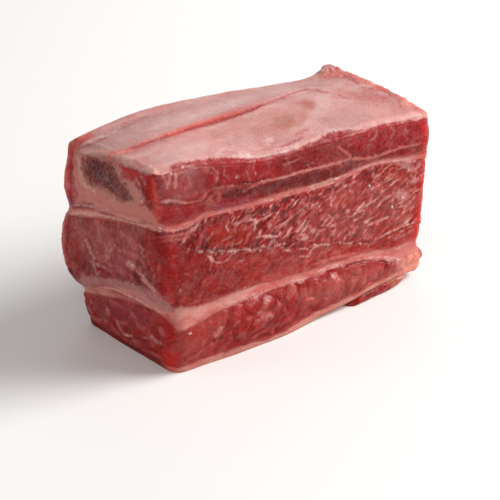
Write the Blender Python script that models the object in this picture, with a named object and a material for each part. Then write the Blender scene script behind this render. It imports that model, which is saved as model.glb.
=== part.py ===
"""Raw beef short rib, English cut: one length of rib bone with its layers of meat and fat, bone side up.

The block is a stack of layers that run through its whole length and depth. Every solid in it is a plain
primitive, cut into a grid and carried into place by the same few functions, so neighbours always meet:

    s   along the rib, 0 at the left end and 1 at the right end      (X)
    t   across it, 0 at the front face and 1 at the back face        (Y)
    w   up through one layer, 0 at its underside and 1 at its top    (Z)

Sizes are in millimetres in this file and become metres in `lay_out`. +Z is up, and the origin is on the
resting surface, under the middle of the block.
"""

import bisect
import math

import bmesh
import bpy
from mathutils import Matrix, Vector, noise

MM = 0.001

# Driving dimensions of the block.
LENGTH = 120
DEPTH = 52
LAYER_DEPTH = 17
GAP = 0.3
BONE_GAP = 0.5
SKIN_THICKNESS = 1.4
RIB_SEAM_THICKNESS = 1.3
CORNER_ROUNDING = 5.0
CORNER_PULL = 1.5
TOP_EDGE_ROUNDING = 3.0
TOP_EDGE_DROP = 1.3

# The grid of cells, shared by all layers so that their facing sides have the same facets.
CELLS_ALONG = 20
CELLS_ACROSS = 8
EDGE_CROWDING = 0.45
CORE_SIDES = 20

# How far the surface strays from the plain form, and over what distance.
WANDER = 0.7
WANDER_SPACING = 17.0
# How steeply that and a layer's bulge fade away from the cut faces, inwards.
FADE_POWER = 7

# The four upright edges of the block: (height, place) of each, top to bottom. The near left edge leans out
# at the top, because the meat under the bone has settled and the bone end stands proud of it.
LEFT_END_NEAR = [(0, -54.4), (22, -55.2), (40, -57.8), (57, -60.4), (77, -61.6)]
LEFT_END_FAR = [(0, -55.6), (12, -56.8), (20, -60.7), (33, -61.4), (47, -60.8), (60, -61.2), (72, -60.8)]
RIGHT_END_NEAR = [(0, 56.0), (3, 59.4), (6, 60.6), (9, 60.2), (12, 59.3), (18, 59.4), (30, 59.9), (46, 62.4),
                  (60, 62.2), (66, 61.4)]
RIGHT_END_FAR = [(0, 54.0), (15, 57.4), (46, 61.0), (66, 61.0)]
FRONT_FACE = [(0, -26.3), (24, -26.9), (45, -26.4), (77, -26.2)]
BACK_FACE_LEFT = [(0, 22.4), (12, 24.2), (20, 27.6), (32, 28.6), (43, 26.8), (47, 24.2), (54, 25.2),
                  (63, 23.2), (72, 22.4)]
BACK_FACE_RIGHT = [(0, 22.0), (15, 24.6), (40, 26.0), (66, 26.2)]
# Puts the origin under the middle of the block's outer box.
CENTRING = (-0.63, 1.23)

# The lowest muscle has spread forward under the weight: how far along the block, and up to what height.
FOOT_SPREAD = [(0, 0.3), (0.08, 1.5), (0.25, 3.3), (0.6, 3.3), (0.75, 3.6), (0.93, 2.2), (1, 1.2)]
FOOT_SPREAD_HEIGHTS = (11.0, 25.0)

# Heights of the surfaces between the layers: along the front face, along the back face, and across the
# left end, where the cut face shows them best.
SURFACES = {
    "underside": {
        "front": [(0, 0), (0.42, 0), (0.55, 0.9), (0.66, 2.6), (0.8, 3.9), (0.92, 3.7), (1, 2.2)],
        "back": [(0, 0), (0.42, 0), (0.55, 0.6), (0.66, 1.8), (0.8, 2.9), (0.92, 2.8), (1, 1.8)],
        "left": [(0, 0), (1, 0)],
    },
    "bottom_fat_top": {
        "front": [(0, 2.5), (0.15, 3.0), (0.35, 2.1), (0.5, 3.6), (0.66, 5.0), (0.8, 5.9), (1, 6.4)],
        "back": [(0, 2.2), (0.5, 2.8), (0.66, 4.2), (0.8, 5.2), (1, 5.6)],
        "left": [(0, 2.5), (0.5, 1.9), (1, 2.2)],
    },
    "thick_fat_bottom": {
        "front": [(0, 15.6), (0.1, 17.2), (0.17, 18.6), (0.33, 18.9), (0.48, 18.0), (0.6, 17.8),
                  (0.7, 17.2), (0.8, 14.2), (0.88, 11.8), (1, 10.6)],
        "back": [(0, 11.4), (0.3, 13.0), (0.7, 12.6), (1, 11.0)],
        "left": [(0, 15.6), (0.07, 20.6), (0.2, 21.2), (0.4, 20.0), (0.6, 17.6), (0.8, 14.6), (1, 11.4)],
    },
    "thick_fat_top": {
        "front": [(0, 23.8), (0.15, 22.8), (0.33, 22.2), (0.5, 20.6), (0.65, 19.8), (0.75, 19.0),
                  (0.85, 16.9), (1, 15.9)],
        "back": [(0, 15.2), (0.3, 16.6), (0.7, 16.2), (1, 15.4)],
        "left": [(0, 23.8), (0.15, 24.8), (0.33, 25.6), (0.57, 22.2), (0.75, 18.6), (1, 15.2)],
    },
    "rib_fat_bottom": {
        "front": [(0, 55.6), (0.06, 52.8), (0.17, 53.7), (0.32, 51.8), (0.5, 50.5), (0.62, 49.5),
                  (0.78, 50.3), (0.9, 48.0), (1, 45.6)],
        "back": [(0, 41.6), (0.3, 43.6), (0.7, 44.6), (1, 44.8)],
        "left": [(0, 55.6), (0.31, 52.2), (0.52, 49.4), (0.72, 46.4), (1, 41.6)],
    },
    "rib_fat_top": {
        "front": [(0, 57.8), (0.06, 55.2), (0.17, 55.6), (0.32, 53.8), (0.5, 52.5), (0.62, 51.4),
                  (0.78, 51.9), (0.9, 49.9), (1, 47.9)],
        "back": [(0, 45.6), (0.3, 46.6), (0.7, 47.0), (1, 47.2)],
        "left": [(0, 57.8), (0.18, 56.8), (0.44, 53.4), (0.65, 51.0), (1, 45.6)],
    },
    "top": {
        "front": [(0, 76.0), (0.12, 75.8), (0.2, 73.8), (0.32, 70.0), (0.42, 68.2), (0.6, 67.4),
                  (0.77, 66.3), (0.89, 64.5), (1, 63.4)],
        "back": [(0, 70.6), (0.09, 72.4), (0.28, 73.4), (0.5, 70.9), (0.66, 68.1), (0.8, 65.4),
                 (0.9, 64.5), (1, 66.0)],
        "left": [(0, 76.0), (0.2, 74.4), (0.38, 73.4), (0.64, 72.2), (0.82, 71.0), (1, 70.4)],
    },
}
LEFT_END_REACH = 0.22
TOP_CROWN = [(0, 1.0), (0.6, 1.0), (0.9, 2.4), (1, 2.6)]

# Low forms of the top: the groove beside the bone, and a knob of fat at the far right corner.
GROOVE = {
    "at": [(0, 0.47), (0.1, 0.45), (0.23, 0.515), (0.4, 0.58), (0.6, 0.64), (0.75, 0.69)],
    "width": 0.05,
    "depth": 0.8,
    "fade": (0.76, 0.86),
}
KNOB = {"s": 0.96, "t": 0.93, "radius_s": 0.05, "radius_t": 0.1, "height": 1.4}

# The bone, in the layer between the rib fat and the skin: where its front and back sides lie across the
# block, by height in that layer, and how much the front one moves back towards the right end.
BONE_FRONT = [(0, 0.13), (0.08, 0.07), (0.25, 0.05), (0.45, 0.085), (0.65, 0.19), (0.85, 0.34), (1, 0.45)]
BONE_BACK = [(0, 0.86), (0.12, 0.92), (0.5, 0.945), (0.85, 0.93), (1, 0.88)]
BONE_FRONT_SHIFT = 0.08
# The spongy core inside it: its middle and half width across the block, its height in the layer, and how
# much of that height its back side stands above its middle.
CORE = {"middle": 0.545, "half_width": 0.25, "height": 0.6, "half_height": 0.25, "tilt": 0.16}
CORE_ROUNDNESS = 0.9
BORE_OVERSHOOT = 0.004

# Where the thin fat seam in the rib meat runs: how far up the front of that layer.
RIB_SEAM_RISE = [(0, 0.46), (0.12, 0.39), (0.17, 0.36), (0.25, 0.47), (0.34, 0.54), (0.55, 0.53),
                 (0.68, 0.4), (0.8, 0.3), (0.9, 0.3), (1, 0.33)]

# The thin strip of muscle under the right part of the block.
STRIP_START = 0.68
STRIP_END = 0.935
STRIP_FORWARD = 0.4
STRIP_TIP_THICKNESS = 0.55
STRIP_TIP_LENGTH = 0.15
STRIP_CELLS_ALONG = 8

# How far each layer stands proud of the cut faces at its middle.
BULGES = {
    "bottom_fat": 0.2,
    "lower_muscle": 1.0,
    "thick_fat": -0.5,
    "main_muscle": 0.9,
    "rib_fat": -0.5,
    "rib_meat": 0.7,
    "skin": 0.3,
    "strip": 0.7,
}


def curve_at(points, x):
    """The height at x of a smooth line through points, level beyond its ends."""
    places = [p[0] for p in points]
    if x <= places[0]:
        return points[0][1]
    if x >= places[-1]:
        return points[-1][1]
    i = bisect.bisect_right(places, x) - 1
    (x0, y0), (x1, y1) = points[i], points[i + 1]
    before = points[max(i - 1, 0)]
    after = points[min(i + 2, len(points) - 1)]
    slope0 = (y1 - before[1]) / (x1 - before[0])
    slope1 = (after[1] - y0) / (after[0] - x0)
    width = x1 - x0
    u = (x - x0) / width
    rise = y0 * (1 + 2 * u) * (1 - u) ** 2 + y1 * u * u * (3 - 2 * u)
    return rise + width * (slope0 * u * (1 - u) ** 2 - slope1 * u * u * (1 - u))


def mix(a, b, share):
    return a + (b - a) * share


def ease(x, low, high):
    """0 below low, 1 above high, and smooth between them."""
    u = min(max((x - low) / (high - low), 0.0), 1.0)
    return u * u * (3 - 2 * u)


def hump(x):
    """A smooth hump: 1 where x is 0, and 0 from x = 1 on."""
    return (1 - min(abs(x), 1.0) ** 2) ** 2


def surface_height(name, s, t):
    """Height of one of the surfaces between the layers."""
    lines = SURFACES[name]
    front, back = curve_at(lines["front"], s), curve_at(lines["back"], s)
    flat_end = mix(lines["front"][0][1], lines["back"][0][1], t)
    end_form = curve_at(lines["left"], t) - flat_end
    return mix(front, back, t) + end_form * math.exp(-s / LEFT_END_REACH)


def edge_distance(s, t):
    """Distances in from the nearest end and from the nearest long face, in millimetres."""
    return max(min(s, 1 - s), 0) * LENGTH, max(min(t, 1 - t), 0) * DEPTH


def skin_bottom(s, t):
    """Underside of the skin: the crowned top, rounded off towards its four edges."""
    near_end, near_face = edge_distance(s, t)
    rounding = max(hump(near_end / TOP_EDGE_ROUNDING), hump(near_face / TOP_EDGE_ROUNDING))
    crown = curve_at(TOP_CROWN, s) * 4 * t * (1 - t)
    return surface_height("top", s, t) + crown - TOP_EDGE_DROP * rounding - SKIN_THICKNESS


def skin_top(s, t):
    """Top of the skin, with the groove beside the bone and the knob of fat."""
    groove = hump((t - curve_at(GROOVE["at"], s)) / GROOVE["width"]) * GROOVE["depth"]
    groove *= 1 - ease(s, *GROOVE["fade"])
    knob = hump((s - KNOB["s"]) / KNOB["radius_s"]) * hump((t - KNOB["t"]) / KNOB["radius_t"])
    return skin_bottom(s, t) + SKIN_THICKNESS - groove + knob * KNOB["height"]


def between(bottom, top, w):
    """Height at share w of a layer, half a gap in from each of its two surfaces."""
    return mix(bottom + GAP / 2, top - GAP / 2, w)


def rib_zone(s, t, w):
    """Height in the layer that holds the bone and the rib meat."""
    return between(surface_height("rib_fat_top", s, t), skin_bottom(s, t), w)


def plan(s, t, z, bulge):
    """X and Y of a point at height z, pushed out by bulge where it lies on an end or a long face."""
    left = mix(curve_at(LEFT_END_NEAR, z), curve_at(LEFT_END_FAR, z), t)
    right = mix(curve_at(RIGHT_END_NEAR, z), curve_at(RIGHT_END_FAR, z), t)
    spread = curve_at(FOOT_SPREAD, s) * (1 - ease(z, *FOOT_SPREAD_HEIGHTS))
    front = curve_at(FRONT_FACE, z) - spread
    back = mix(curve_at(BACK_FACE_LEFT, z), curve_at(BACK_FACE_RIGHT, z), s)
    x, y = mix(left, right, s), mix(front, back, t)
    # The bulge and the wander fade inwards; the upright edges are rounded in plan.
    out_x, out_y = 2 * s - 1, 2 * t - 1
    near_end, near_face = edge_distance(s, t)
    corner = hump(near_end / CORNER_ROUNDING) * hump(near_face / CORNER_ROUNDING)
    pull_in = CORNER_PULL * corner
    stray = WANDER * noise.noise(Vector((x, y, z)) / WANDER_SPACING)
    reach = bulge + stray
    x += reach * out_x ** FADE_POWER - math.copysign(pull_in, out_x)
    y += reach * out_y ** FADE_POWER - math.copysign(pull_in, out_y)
    return x + CENTRING[0], y + CENTRING[1]


def layer(bottom, top, bulge):
    """A function that carries a point of the unit cube into the layer between two surfaces."""

    def place(s, t, w):
        z = between(bottom(s, t), top(s, t), w)
        return (*plan(s, t, z, bulge * (1 - (2 * w - 1) ** 2)), z)

    return place


def named(surface):
    return lambda s, t: surface_height(surface, s, t)


def underside(s, t):
    """Underside of the lowest layer: level where it rests, and lifted over the strip on the right."""
    return max(surface_height("underside", s, t), 0.0)


def lowest_place(s, t, w):
    """The lowest layer reaches down to its underside, with no half gap there."""
    z = mix(underside(s, t), surface_height("bottom_fat_top", s, t) - GAP / 2, w)
    return (*plan(s, t, z, BULGES["bottom_fat"] * (1 - (2 * w - 1) ** 2)), z)


def bone_side(side, s, w):
    """Where a side of the bone lies across the block at height w of its layer: -1 in front, 1 behind."""
    if side < 0:
        return curve_at(BONE_FRONT, w) + BONE_FRONT_SHIFT * s
    return curve_at(BONE_BACK, w)


def front_rib_meat(low, high):
    """The rib meat in front of the bone, from share low(s) to share high(s) of its layer."""

    def place(s, t, w):
        share = mix(low(s), high(s), w)
        across = t * (bone_side(-1, s, share) - BONE_GAP / DEPTH)
        z = rib_zone(s, across, share)
        return (*plan(s, across, z, BULGES["rib_meat"] * (1 - (2 * w - 1) ** 2)), z)

    return place


def back_rib_meat(s, t, w):
    """The rib meat behind the bone."""
    across = mix(bone_side(1, s, w) + BONE_GAP / DEPTH, 1, t)
    z = rib_zone(s, across, w)
    return (*plan(s, across, z, BULGES["rib_meat"] * 2 * (1 - (2 * w - 1) ** 2)), z)


def seam_share(side):
    """The lower (-1) or upper (1) side of the thin seam in the rib meat, less half a gap."""

    def share(s):
        depth = rib_zone(s, 0, 1) - rib_zone(s, 0, 0)
        return curve_at(RIB_SEAM_RISE, s) + side * (RIB_SEAM_THICKNESS / 2) / depth

    return share


def shifted(share, side):
    """The same share of the rib layer, moved down (-1) or up (1) by a whole gap."""
    return lambda s: share(s) + side * GAP / (rib_zone(s, 0, 1) - rib_zone(s, 0, 0))


def strip_place(s, t, w):
    """The thin strip of muscle that lies under the right part of the block, tapered to its left edge."""
    along = mix(STRIP_START, STRIP_END, s)
    top = underside(along, t) - GAP
    z = mix(0.0, top * mix(STRIP_TIP_THICKNESS, 1.0, ease(s, 0.0, STRIP_TIP_LENGTH)), w)
    x, y = plan(along, t, z, BULGES["strip"] * (1 - (2 * w - 1) ** 2))
    return x, y - STRIP_FORWARD * (1 - t) * math.sin(math.pi * s), z


def split_cells(mesh):
    """Cuts each four-sided cell along one same diagonal, so that layers which meet have the same facets."""
    slant = Vector((0.31, 0.57, 1.0))
    for cell in [face for face in mesh.faces if len(face.verts) == 4]:
        corners = sorted(cell.verts, key=lambda vertex: vertex.co.dot(slant))
        bmesh.utils.face_split(cell, corners[0], corners[-1])


def grid_block(cells):
    """A unit cube from (0, 0, 0) to (1, 1, 1), cut into a grid of cells along X, Y and Z."""
    mesh = bmesh.new()
    bmesh.ops.create_cube(mesh, size=1.0, matrix=Matrix.Translation((0.5, 0.5, 0.5)))
    for axis, count in enumerate(cells):
        along = [e for e in mesh.edges if abs(e.verts[0].co[axis] - e.verts[1].co[axis]) > 0.5]
        if count > 1:
            bmesh.ops.subdivide_edges(mesh, edges=along, cuts=count - 1, use_grid_fill=True)
    split_cells(mesh)
    return mesh


def grid_rod(sides, cells):
    """A capped rod of radius 1 along Z from 0 to 1, cut into cells along its length."""
    mesh = bmesh.new()
    bmesh.ops.create_cone(
        mesh, cap_ends=True, cap_tris=True, segments=sides, radius1=1, radius2=1, depth=1,
        matrix=Matrix.Translation((0, 0, 0.5)),
    )
    along = [e for e in mesh.edges if abs(e.verts[0].co.z - e.verts[1].co.z) > 0.5]
    bmesh.ops.subdivide_edges(mesh, edges=along, cuts=cells - 1, use_grid_fill=True)
    split_cells(mesh)
    return mesh


def closer_at_ends(x):
    """Moves the grid's inner lines towards both ends, where the block's edges are rounded."""
    return x - EDGE_CROWDING * math.sin(2 * math.pi * x) / (2 * math.pi)


def bone_place(s, t, w):
    """The bone fills its layer between its front and back sides."""
    across = mix(bone_side(-1, s, w), bone_side(1, s, w), t)
    z = rib_zone(s, across, w)
    return (*plan(s, across, z, 0.0), z)


def core_place(margin, overshoot):
    """A function that carries a point of the unit rod onto the spongy core, with a margin all round it."""

    def place(x, y, z):
        # Only the end faces move out by the overshoot, so that both rods share their rings.
        s = closer_at_ends(z) + overshoot * ((z > 0.99) - (z < 0.01))
        angle = math.atan2(y, x)
        radius = math.hypot(x, y)
        across = math.copysign(abs(math.cos(angle)) ** CORE_ROUNDNESS, math.cos(angle)) * radius
        up = math.copysign(abs(math.sin(angle)) ** CORE_ROUNDNESS, math.sin(angle)) * radius
        w = CORE["height"] + CORE["tilt"] * across + (CORE["half_height"] + margin / LAYER_DEPTH) * up
        middle = CORE["middle"] + BONE_FRONT_SHIFT * s / 2
        t = middle + (CORE["half_width"] + margin / DEPTH) * across
        z_mm = rib_zone(s, t, w)
        return (*plan(s, t, z_mm, 0.0), z_mm)

    return place


def finish_look(name, colour, roughness):
    """A Principled material of one colour (linear red, green and blue)."""
    material = bpy.data.materials.new(name)
    material.use_nodes = True
    shader = material.node_tree.nodes["Principled BSDF"]
    shader.inputs["Base Color"].default_value = (*colour, 1.0)
    shader.inputs["Roughness"].default_value = roughness
    shader.inputs["Metallic"].default_value = 0.0
    return material


def lay_out(name, mesh, place, material, collection):
    """Carries each point of a unit primitive into the block, and makes the object."""
    for vertex in mesh.verts:
        vertex.co = Vector(place(*vertex.co)) * MM
    bmesh.ops.recalc_face_normals(mesh, faces=mesh.faces)
    if mesh.calc_volume(signed=True) < 0:
        bmesh.ops.reverse_faces(mesh, faces=mesh.faces)
    data = bpy.data.meshes.new(name)
    mesh.to_mesh(data)
    mesh.free()
    data.shade_smooth()
    data.set_sharp_from_angle(angle=math.radians(40))
    data.materials.append(material)
    thing = bpy.data.objects.new(name, data)
    collection.objects.link(thing)
    return thing


def spaced(place):
    """The same placing, with the grid's lines closer together near the block's edges."""
    return lambda s, t, w: place(closer_at_ends(s), closer_at_ends(t), w)


def spaced_along(place):
    """The same placing, with the grid's lines closer together near the block's two ends only."""
    return lambda s, t, w: place(closer_at_ends(s), t, w)


def build_layers(looks, collection):
    """The layers that run through the whole block, from the board upwards."""
    stack = [
        ("lower_muscle", "bottom_fat_top", "thick_fat_bottom", "lean", 5),
        ("thick_fat", "thick_fat_bottom", "thick_fat_top", "fat", 2),
        ("main_muscle", "thick_fat_top", "rib_fat_bottom", "marbled", 8),
        ("rib_fat", "rib_fat_bottom", "rib_fat_top", "fat", 1),
    ]
    for name, bottom, top, look, cells_up in stack:
        place = layer(named(bottom), named(top), BULGES[name])
        mesh = grid_block((CELLS_ALONG, CELLS_ACROSS, cells_up))
        lay_out(name, mesh, spaced(place), looks[look], collection)
    mesh = grid_block((CELLS_ALONG, CELLS_ACROSS, 1))
    lay_out("bottom_fat", mesh, spaced(lowest_place), looks["fat"], collection)
    skin = layer(skin_bottom, skin_top, BULGES["skin"])
    mesh = grid_block((CELLS_ALONG, CELLS_ACROSS, 1))
    lay_out("top_skin", mesh, spaced(skin), looks["skin"], collection)


def build_strip(looks, collection):
    mesh = grid_block((STRIP_CELLS_ALONG, CELLS_ACROSS, 1))
    lay_out("bottom_strip", mesh, spaced(strip_place), looks["lean"], collection)


def build_rib_meat(looks, collection):
    """The meat on both sides of the bone; the front one is split by a thin seam of fat."""
    seam_low, seam_high = seam_share(-1), seam_share(1)
    pieces = [
        ("rib_meat_lower", lambda s: 0.0, shifted(seam_low, -1), "lean", 3),
        ("rib_meat_seam", seam_low, seam_high, "fat", 1),
        ("rib_meat_upper", shifted(seam_high, 1), lambda s: 1.0, "lean", 4),
    ]
    for name, low, high, look, cells_up in pieces:
        mesh = grid_block((CELLS_ALONG, 3, cells_up))
        lay_out(name, mesh, spaced_along(front_rib_meat(low, high)), looks[look], collection)
    mesh = grid_block((CELLS_ALONG, 1, 8))
    lay_out("rib_meat_back", mesh, spaced_along(back_rib_meat), looks["lean"], collection)


def build_bone(looks, collection, cutters):
    """The rib bone, bored out by a cutter for the spongy core that shows at its sawn ends."""
    mesh = grid_block((CELLS_ALONG, 4, 8))
    bone = lay_out("rib_bone", mesh, spaced_along(bone_place), looks["bone"], collection)
    mesh = grid_rod(CORE_SIDES, CELLS_ALONG)
    lay_out("bone_core", mesh, core_place(0.0, 0.0), looks["core"], collection)
    mesh = grid_rod(CORE_SIDES, CELLS_ALONG)
    cutter = lay_out("core_cutter", mesh, core_place(GAP, BORE_OVERSHOOT), looks["core"], cutters)
    cutter.hide_render = True
    cutter.display_type = "WIRE"
    bore = bone.modifiers.new("core bore", "BOOLEAN")
    bore.operation = "DIFFERENCE"
    bore.object = cutter


def main():
    for thing in list(bpy.data.objects):
        bpy.data.objects.remove(thing)
    block = bpy.data.collections.new("beef_short_rib")
    cutters = bpy.data.collections.new("cutters")
    for collection in (block, cutters):
        bpy.context.scene.collection.children.link(collection)
    looks = {
        "marbled": finish_look("marbled_meat", (0.40, 0.035, 0.030), 0.35),
        "lean": finish_look("lean_meat", (0.33, 0.022, 0.024), 0.35),
        "fat": finish_look("fat", (0.72, 0.36, 0.28), 0.4),
        "skin": finish_look("pale_skin", (0.60, 0.34, 0.31), 0.35),
        "bone": finish_look("bone", (0.50, 0.30, 0.25), 0.5),
        "core": finish_look("bone_core", (0.09, 0.03, 0.03), 0.6),
    }
    build_layers(looks, block)
    build_strip(looks, block)
    build_rib_meat(looks, block)
    build_bone(looks, block, cutters)


main()
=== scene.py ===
"""Looks of a raw beef short rib, English cut, bone side up.

Every layer of the block is made again as a fine mesh over the same form as its solid. Its points are painted
with lean meat, fat, membrane and bone, and moved in and out by their relief; the materials add the grain that
is finer than the mesh, and the gloss.

Places on the block are given as in the solids: s along the rib and t across it, both from 0 to 1. Sizes are
in millimetres and become metres in `make_piece`. Marks are given in the photograph's pixels (500 x 500), and
each point of the block knows the pixel at which it is seen. The seed of a noise only tells it apart from the
others.
"""

import math

import bpy
import numpy as np
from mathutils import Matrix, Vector, noise


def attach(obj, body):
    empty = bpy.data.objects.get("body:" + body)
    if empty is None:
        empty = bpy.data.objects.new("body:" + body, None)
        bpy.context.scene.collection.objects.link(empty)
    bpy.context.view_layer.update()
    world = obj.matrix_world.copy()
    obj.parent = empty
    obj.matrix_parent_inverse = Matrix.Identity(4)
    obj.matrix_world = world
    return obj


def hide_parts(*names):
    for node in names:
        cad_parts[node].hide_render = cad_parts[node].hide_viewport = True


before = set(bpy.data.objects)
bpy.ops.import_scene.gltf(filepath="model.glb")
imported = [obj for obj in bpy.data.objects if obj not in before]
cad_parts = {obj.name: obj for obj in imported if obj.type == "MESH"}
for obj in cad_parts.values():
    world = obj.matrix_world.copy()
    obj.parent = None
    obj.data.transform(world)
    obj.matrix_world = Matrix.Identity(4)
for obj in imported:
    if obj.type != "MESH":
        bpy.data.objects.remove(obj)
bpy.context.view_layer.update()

MM = 0.001
# The block's nominal size, its skin, and the rounding of its edges and corners.
LENGTH = 120
DEPTH = 52
SKIN_THICKNESS = 1.4
TOP_EDGE_ROUNDING = 3.0
TOP_EDGE_DROP = 1.3
CORNER_RADIUS = 4.5
# How far the walls wander and at what spacing, and how fast that fades towards the block's middle.
WANDER = 0.7
WANDER_SPACING = 17.0
FADE_POWER = 7

# The block's form, as in the solids. The ends and long faces at their edges: (height, place).
LEFT_END_NEAR = [(0, -54.4), (22, -55.2), (40, -57.8), (57, -60.4), (77, -61.6)]
LEFT_END_FAR = [(0, -55.6), (12, -56.8), (20, -60.7), (33, -61.4), (47, -60.8), (60, -61.2), (72, -60.8)]
RIGHT_END_NEAR = [(0, 56.0), (3, 59.4), (6, 60.6), (9, 60.2), (12, 59.3), (18, 59.4), (30, 59.9), (46, 62.4),
                  (60, 62.2), (66, 61.4)]
RIGHT_END_FAR = [(0, 54.0), (15, 57.4), (46, 61.0), (66, 61.0)]
FRONT_FACE = [(0, -26.3), (24, -26.9), (45, -26.4), (77, -26.2)]
BACK_FACE_LEFT = [(0, 22.4), (12, 24.2), (20, 27.6), (32, 28.6), (43, 26.8), (47, 24.2), (54, 25.2),
                  (63, 23.2), (72, 22.4)]
BACK_FACE_RIGHT = [(0, 22.0), (15, 24.6), (40, 26.0), (66, 26.2)]
CENTRING = (-0.63, 1.23)
# How far the foot spreads at the front: (s, spread), which fades out between two heights.
FOOT_SPREAD = [(0, 0.3), (0.08, 1.5), (0.25, 3.3), (0.6, 3.3), (0.75, 3.6), (0.93, 2.2), (1, 1.2)]
FOOT_SPREAD_HEIGHTS = (11.0, 25.0)
# The surfaces between the layers: (s, height) at the front and the back, (t, height) at the left end.
SURFACES = {
    "underside": {
        "front": [(0, 0), (0.42, 0), (0.55, 0.9), (0.66, 2.6), (0.8, 3.9), (0.92, 3.7), (1, 2.2)],
        "back": [(0, 0), (0.42, 0), (0.55, 0.6), (0.66, 1.8), (0.8, 2.9), (0.92, 2.8), (1, 1.8)],
        "left": [(0, 0), (1, 0)],
    },
    "bottom_fat_top": {
        "front": [(0, 2.5), (0.15, 3.0), (0.35, 2.1), (0.5, 3.6), (0.66, 5.0), (0.8, 5.9), (1, 6.4)],
        "back": [(0, 2.2), (0.5, 2.8), (0.66, 4.2), (0.8, 5.2), (1, 5.6)],
        "left": [(0, 2.5), (0.5, 1.9), (1, 2.2)],
    },
    "thick_fat_bottom": {
        "front": [(0, 15.6), (0.1, 17.2), (0.17, 18.6), (0.33, 18.9), (0.48, 18.0), (0.6, 17.8),
                  (0.7, 17.2), (0.8, 14.2), (0.88, 11.8), (1, 10.6)],
        "back": [(0, 11.4), (0.3, 13.0), (0.7, 12.6), (1, 11.0)],
        "left": [(0, 15.6), (0.07, 20.6), (0.2, 21.2), (0.4, 20.0), (0.6, 17.6), (0.8, 14.6), (1, 11.4)],
    },
    "thick_fat_top": {
        "front": [(0, 23.8), (0.15, 22.8), (0.33, 22.2), (0.5, 20.6), (0.65, 19.8), (0.75, 19.0),
                  (0.85, 16.9), (1, 15.9)],
        "back": [(0, 15.2), (0.3, 16.6), (0.7, 16.2), (1, 15.4)],
        "left": [(0, 23.8), (0.15, 24.8), (0.33, 25.6), (0.57, 22.2), (0.75, 18.6), (1, 15.2)],
    },
    "rib_fat_bottom": {
        "front": [(0, 55.6), (0.06, 52.8), (0.17, 53.7), (0.32, 51.8), (0.5, 50.5), (0.62, 49.5),
                  (0.78, 50.3), (0.9, 48.0), (1, 45.6)],
        "back": [(0, 41.6), (0.3, 43.6), (0.7, 44.6), (1, 44.8)],
        "left": [(0, 55.6), (0.31, 52.2), (0.52, 49.4), (0.72, 46.4), (1, 41.6)],
    },
    "rib_fat_top": {
        "front": [(0, 57.8), (0.06, 55.2), (0.17, 55.6), (0.32, 53.8), (0.5, 52.5), (0.62, 51.4),
                  (0.78, 51.9), (0.9, 49.9), (1, 47.9)],
        "back": [(0, 45.6), (0.3, 46.6), (0.7, 47.0), (1, 47.2)],
        "left": [(0, 57.8), (0.18, 56.8), (0.44, 53.4), (0.65, 51.0), (1, 45.6)],
    },
    "top": {
        "front": [(0, 76.0), (0.12, 75.8), (0.2, 73.8), (0.32, 70.0), (0.42, 68.2), (0.6, 67.4),
                  (0.77, 66.3), (0.89, 64.5), (1, 63.4)],
        "back": [(0, 70.6), (0.09, 72.4), (0.28, 73.4), (0.5, 70.9), (0.66, 68.1), (0.8, 65.4),
                 (0.9, 64.5), (1, 66.0)],
        "left": [(0, 76.0), (0.2, 74.4), (0.38, 73.4), (0.64, 72.2), (0.82, 71.0), (1, 70.4)],
    },
}
# How far the left end's form reaches along the block, and the crown of the top: (s, height).
LEFT_END_REACH = 0.22
TOP_CROWN = [(0, 1.0), (0.6, 1.0), (0.9, 2.4), (1, 2.6)]
# The groove beside the bone and the knob at the back right corner.
GROOVE = {"at": [(0, 0.47), (0.1, 0.45), (0.23, 0.515), (0.4, 0.58), (0.6, 0.64), (0.75, 0.69)],
          "width": 0.05, "depth": 0.8, "fade": (0.76, 0.86)}
KNOB = {"s": 0.96, "t": 0.93, "radius_s": 0.05, "radius_t": 0.1, "height": 1.4}
# The membrane's rolled edge and its overhang, and how far the rib's seam stands out at the right end.
EDGE_ROLL = 1.8
EDGE_ROLL_DROP = 0.5
SKIN_OVERHANG = 0.35
OVERHANG_HEIGHTS = (0.5, 0.8)
RIB_SEAM_PROUD = 0.4
RIB_SEAM_PROUD_S = (0.9, 1.0)
# The strip under the foot: its span in s, its thin left tip, its rounded noses, and the gap over it.
STRIP_SPAN = (0.68, 0.935)
STRIP_TIP_THICKNESS = 0.55
STRIP_TIP_LENGTH = 0.15
STRIP_NOSES = (0.12, 0.3)
STRIP_NOSE_RISE = (0.45, 0.85)
STRIP_MIDDLE = (0.4, 0.6)
GAP = 0.3
# How far the middle of each layer's wall bulges out.
BULGES = {"bottom_fat": 0.2, "lower_muscle": 1.0, "thick_fat": -0.5, "main_muscle": 0.9, "rib_fat": -0.5,
          "rib_layer": 0.7, "strip": 0.7}
# The sawn bone at the right end: its start and end in t, and its core by shares of its width and height.
BONE_SPAN = (0.45, 0.88)
CORE_MIDDLE = (0.545, 0.6)
CORE_HALF = (0.25, 0.25)

# The photograph's view.
FOCAL_PX = 1880
FRAME_PX = 500
VIEW_AZIMUTH = math.radians(-40)
VIEW_ELEVATION = math.radians(27)
VIEW_DISTANCE = 626.7
VIEW_TARGET = np.array([-23.63, -26.77, 37.0])

# Spacing of the fine meshes on the faces that the photograph shows, on the others, and on the membrane.
FINE = 0.3
COARSE = 0.6
SKIN_SPACING = 0.36
SKIN_BAND_ROWS = 6
LID_CELLS = (40, 18)
LID_INSET = 2.2
# Edges sharper than this stay sharp; relief fades out so close to a seam; marks have so many parts per span.
SHARP_ANGLE = math.radians(70)
SEAM_FADE = 0.7
LINE_PARTS = 4

# How squarely a point faces an end or the front to count as part of it, and the camera to be seen.
FACING = (0.55, 0.85)
SEEN_FACING = (0.0, 0.15)

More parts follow.
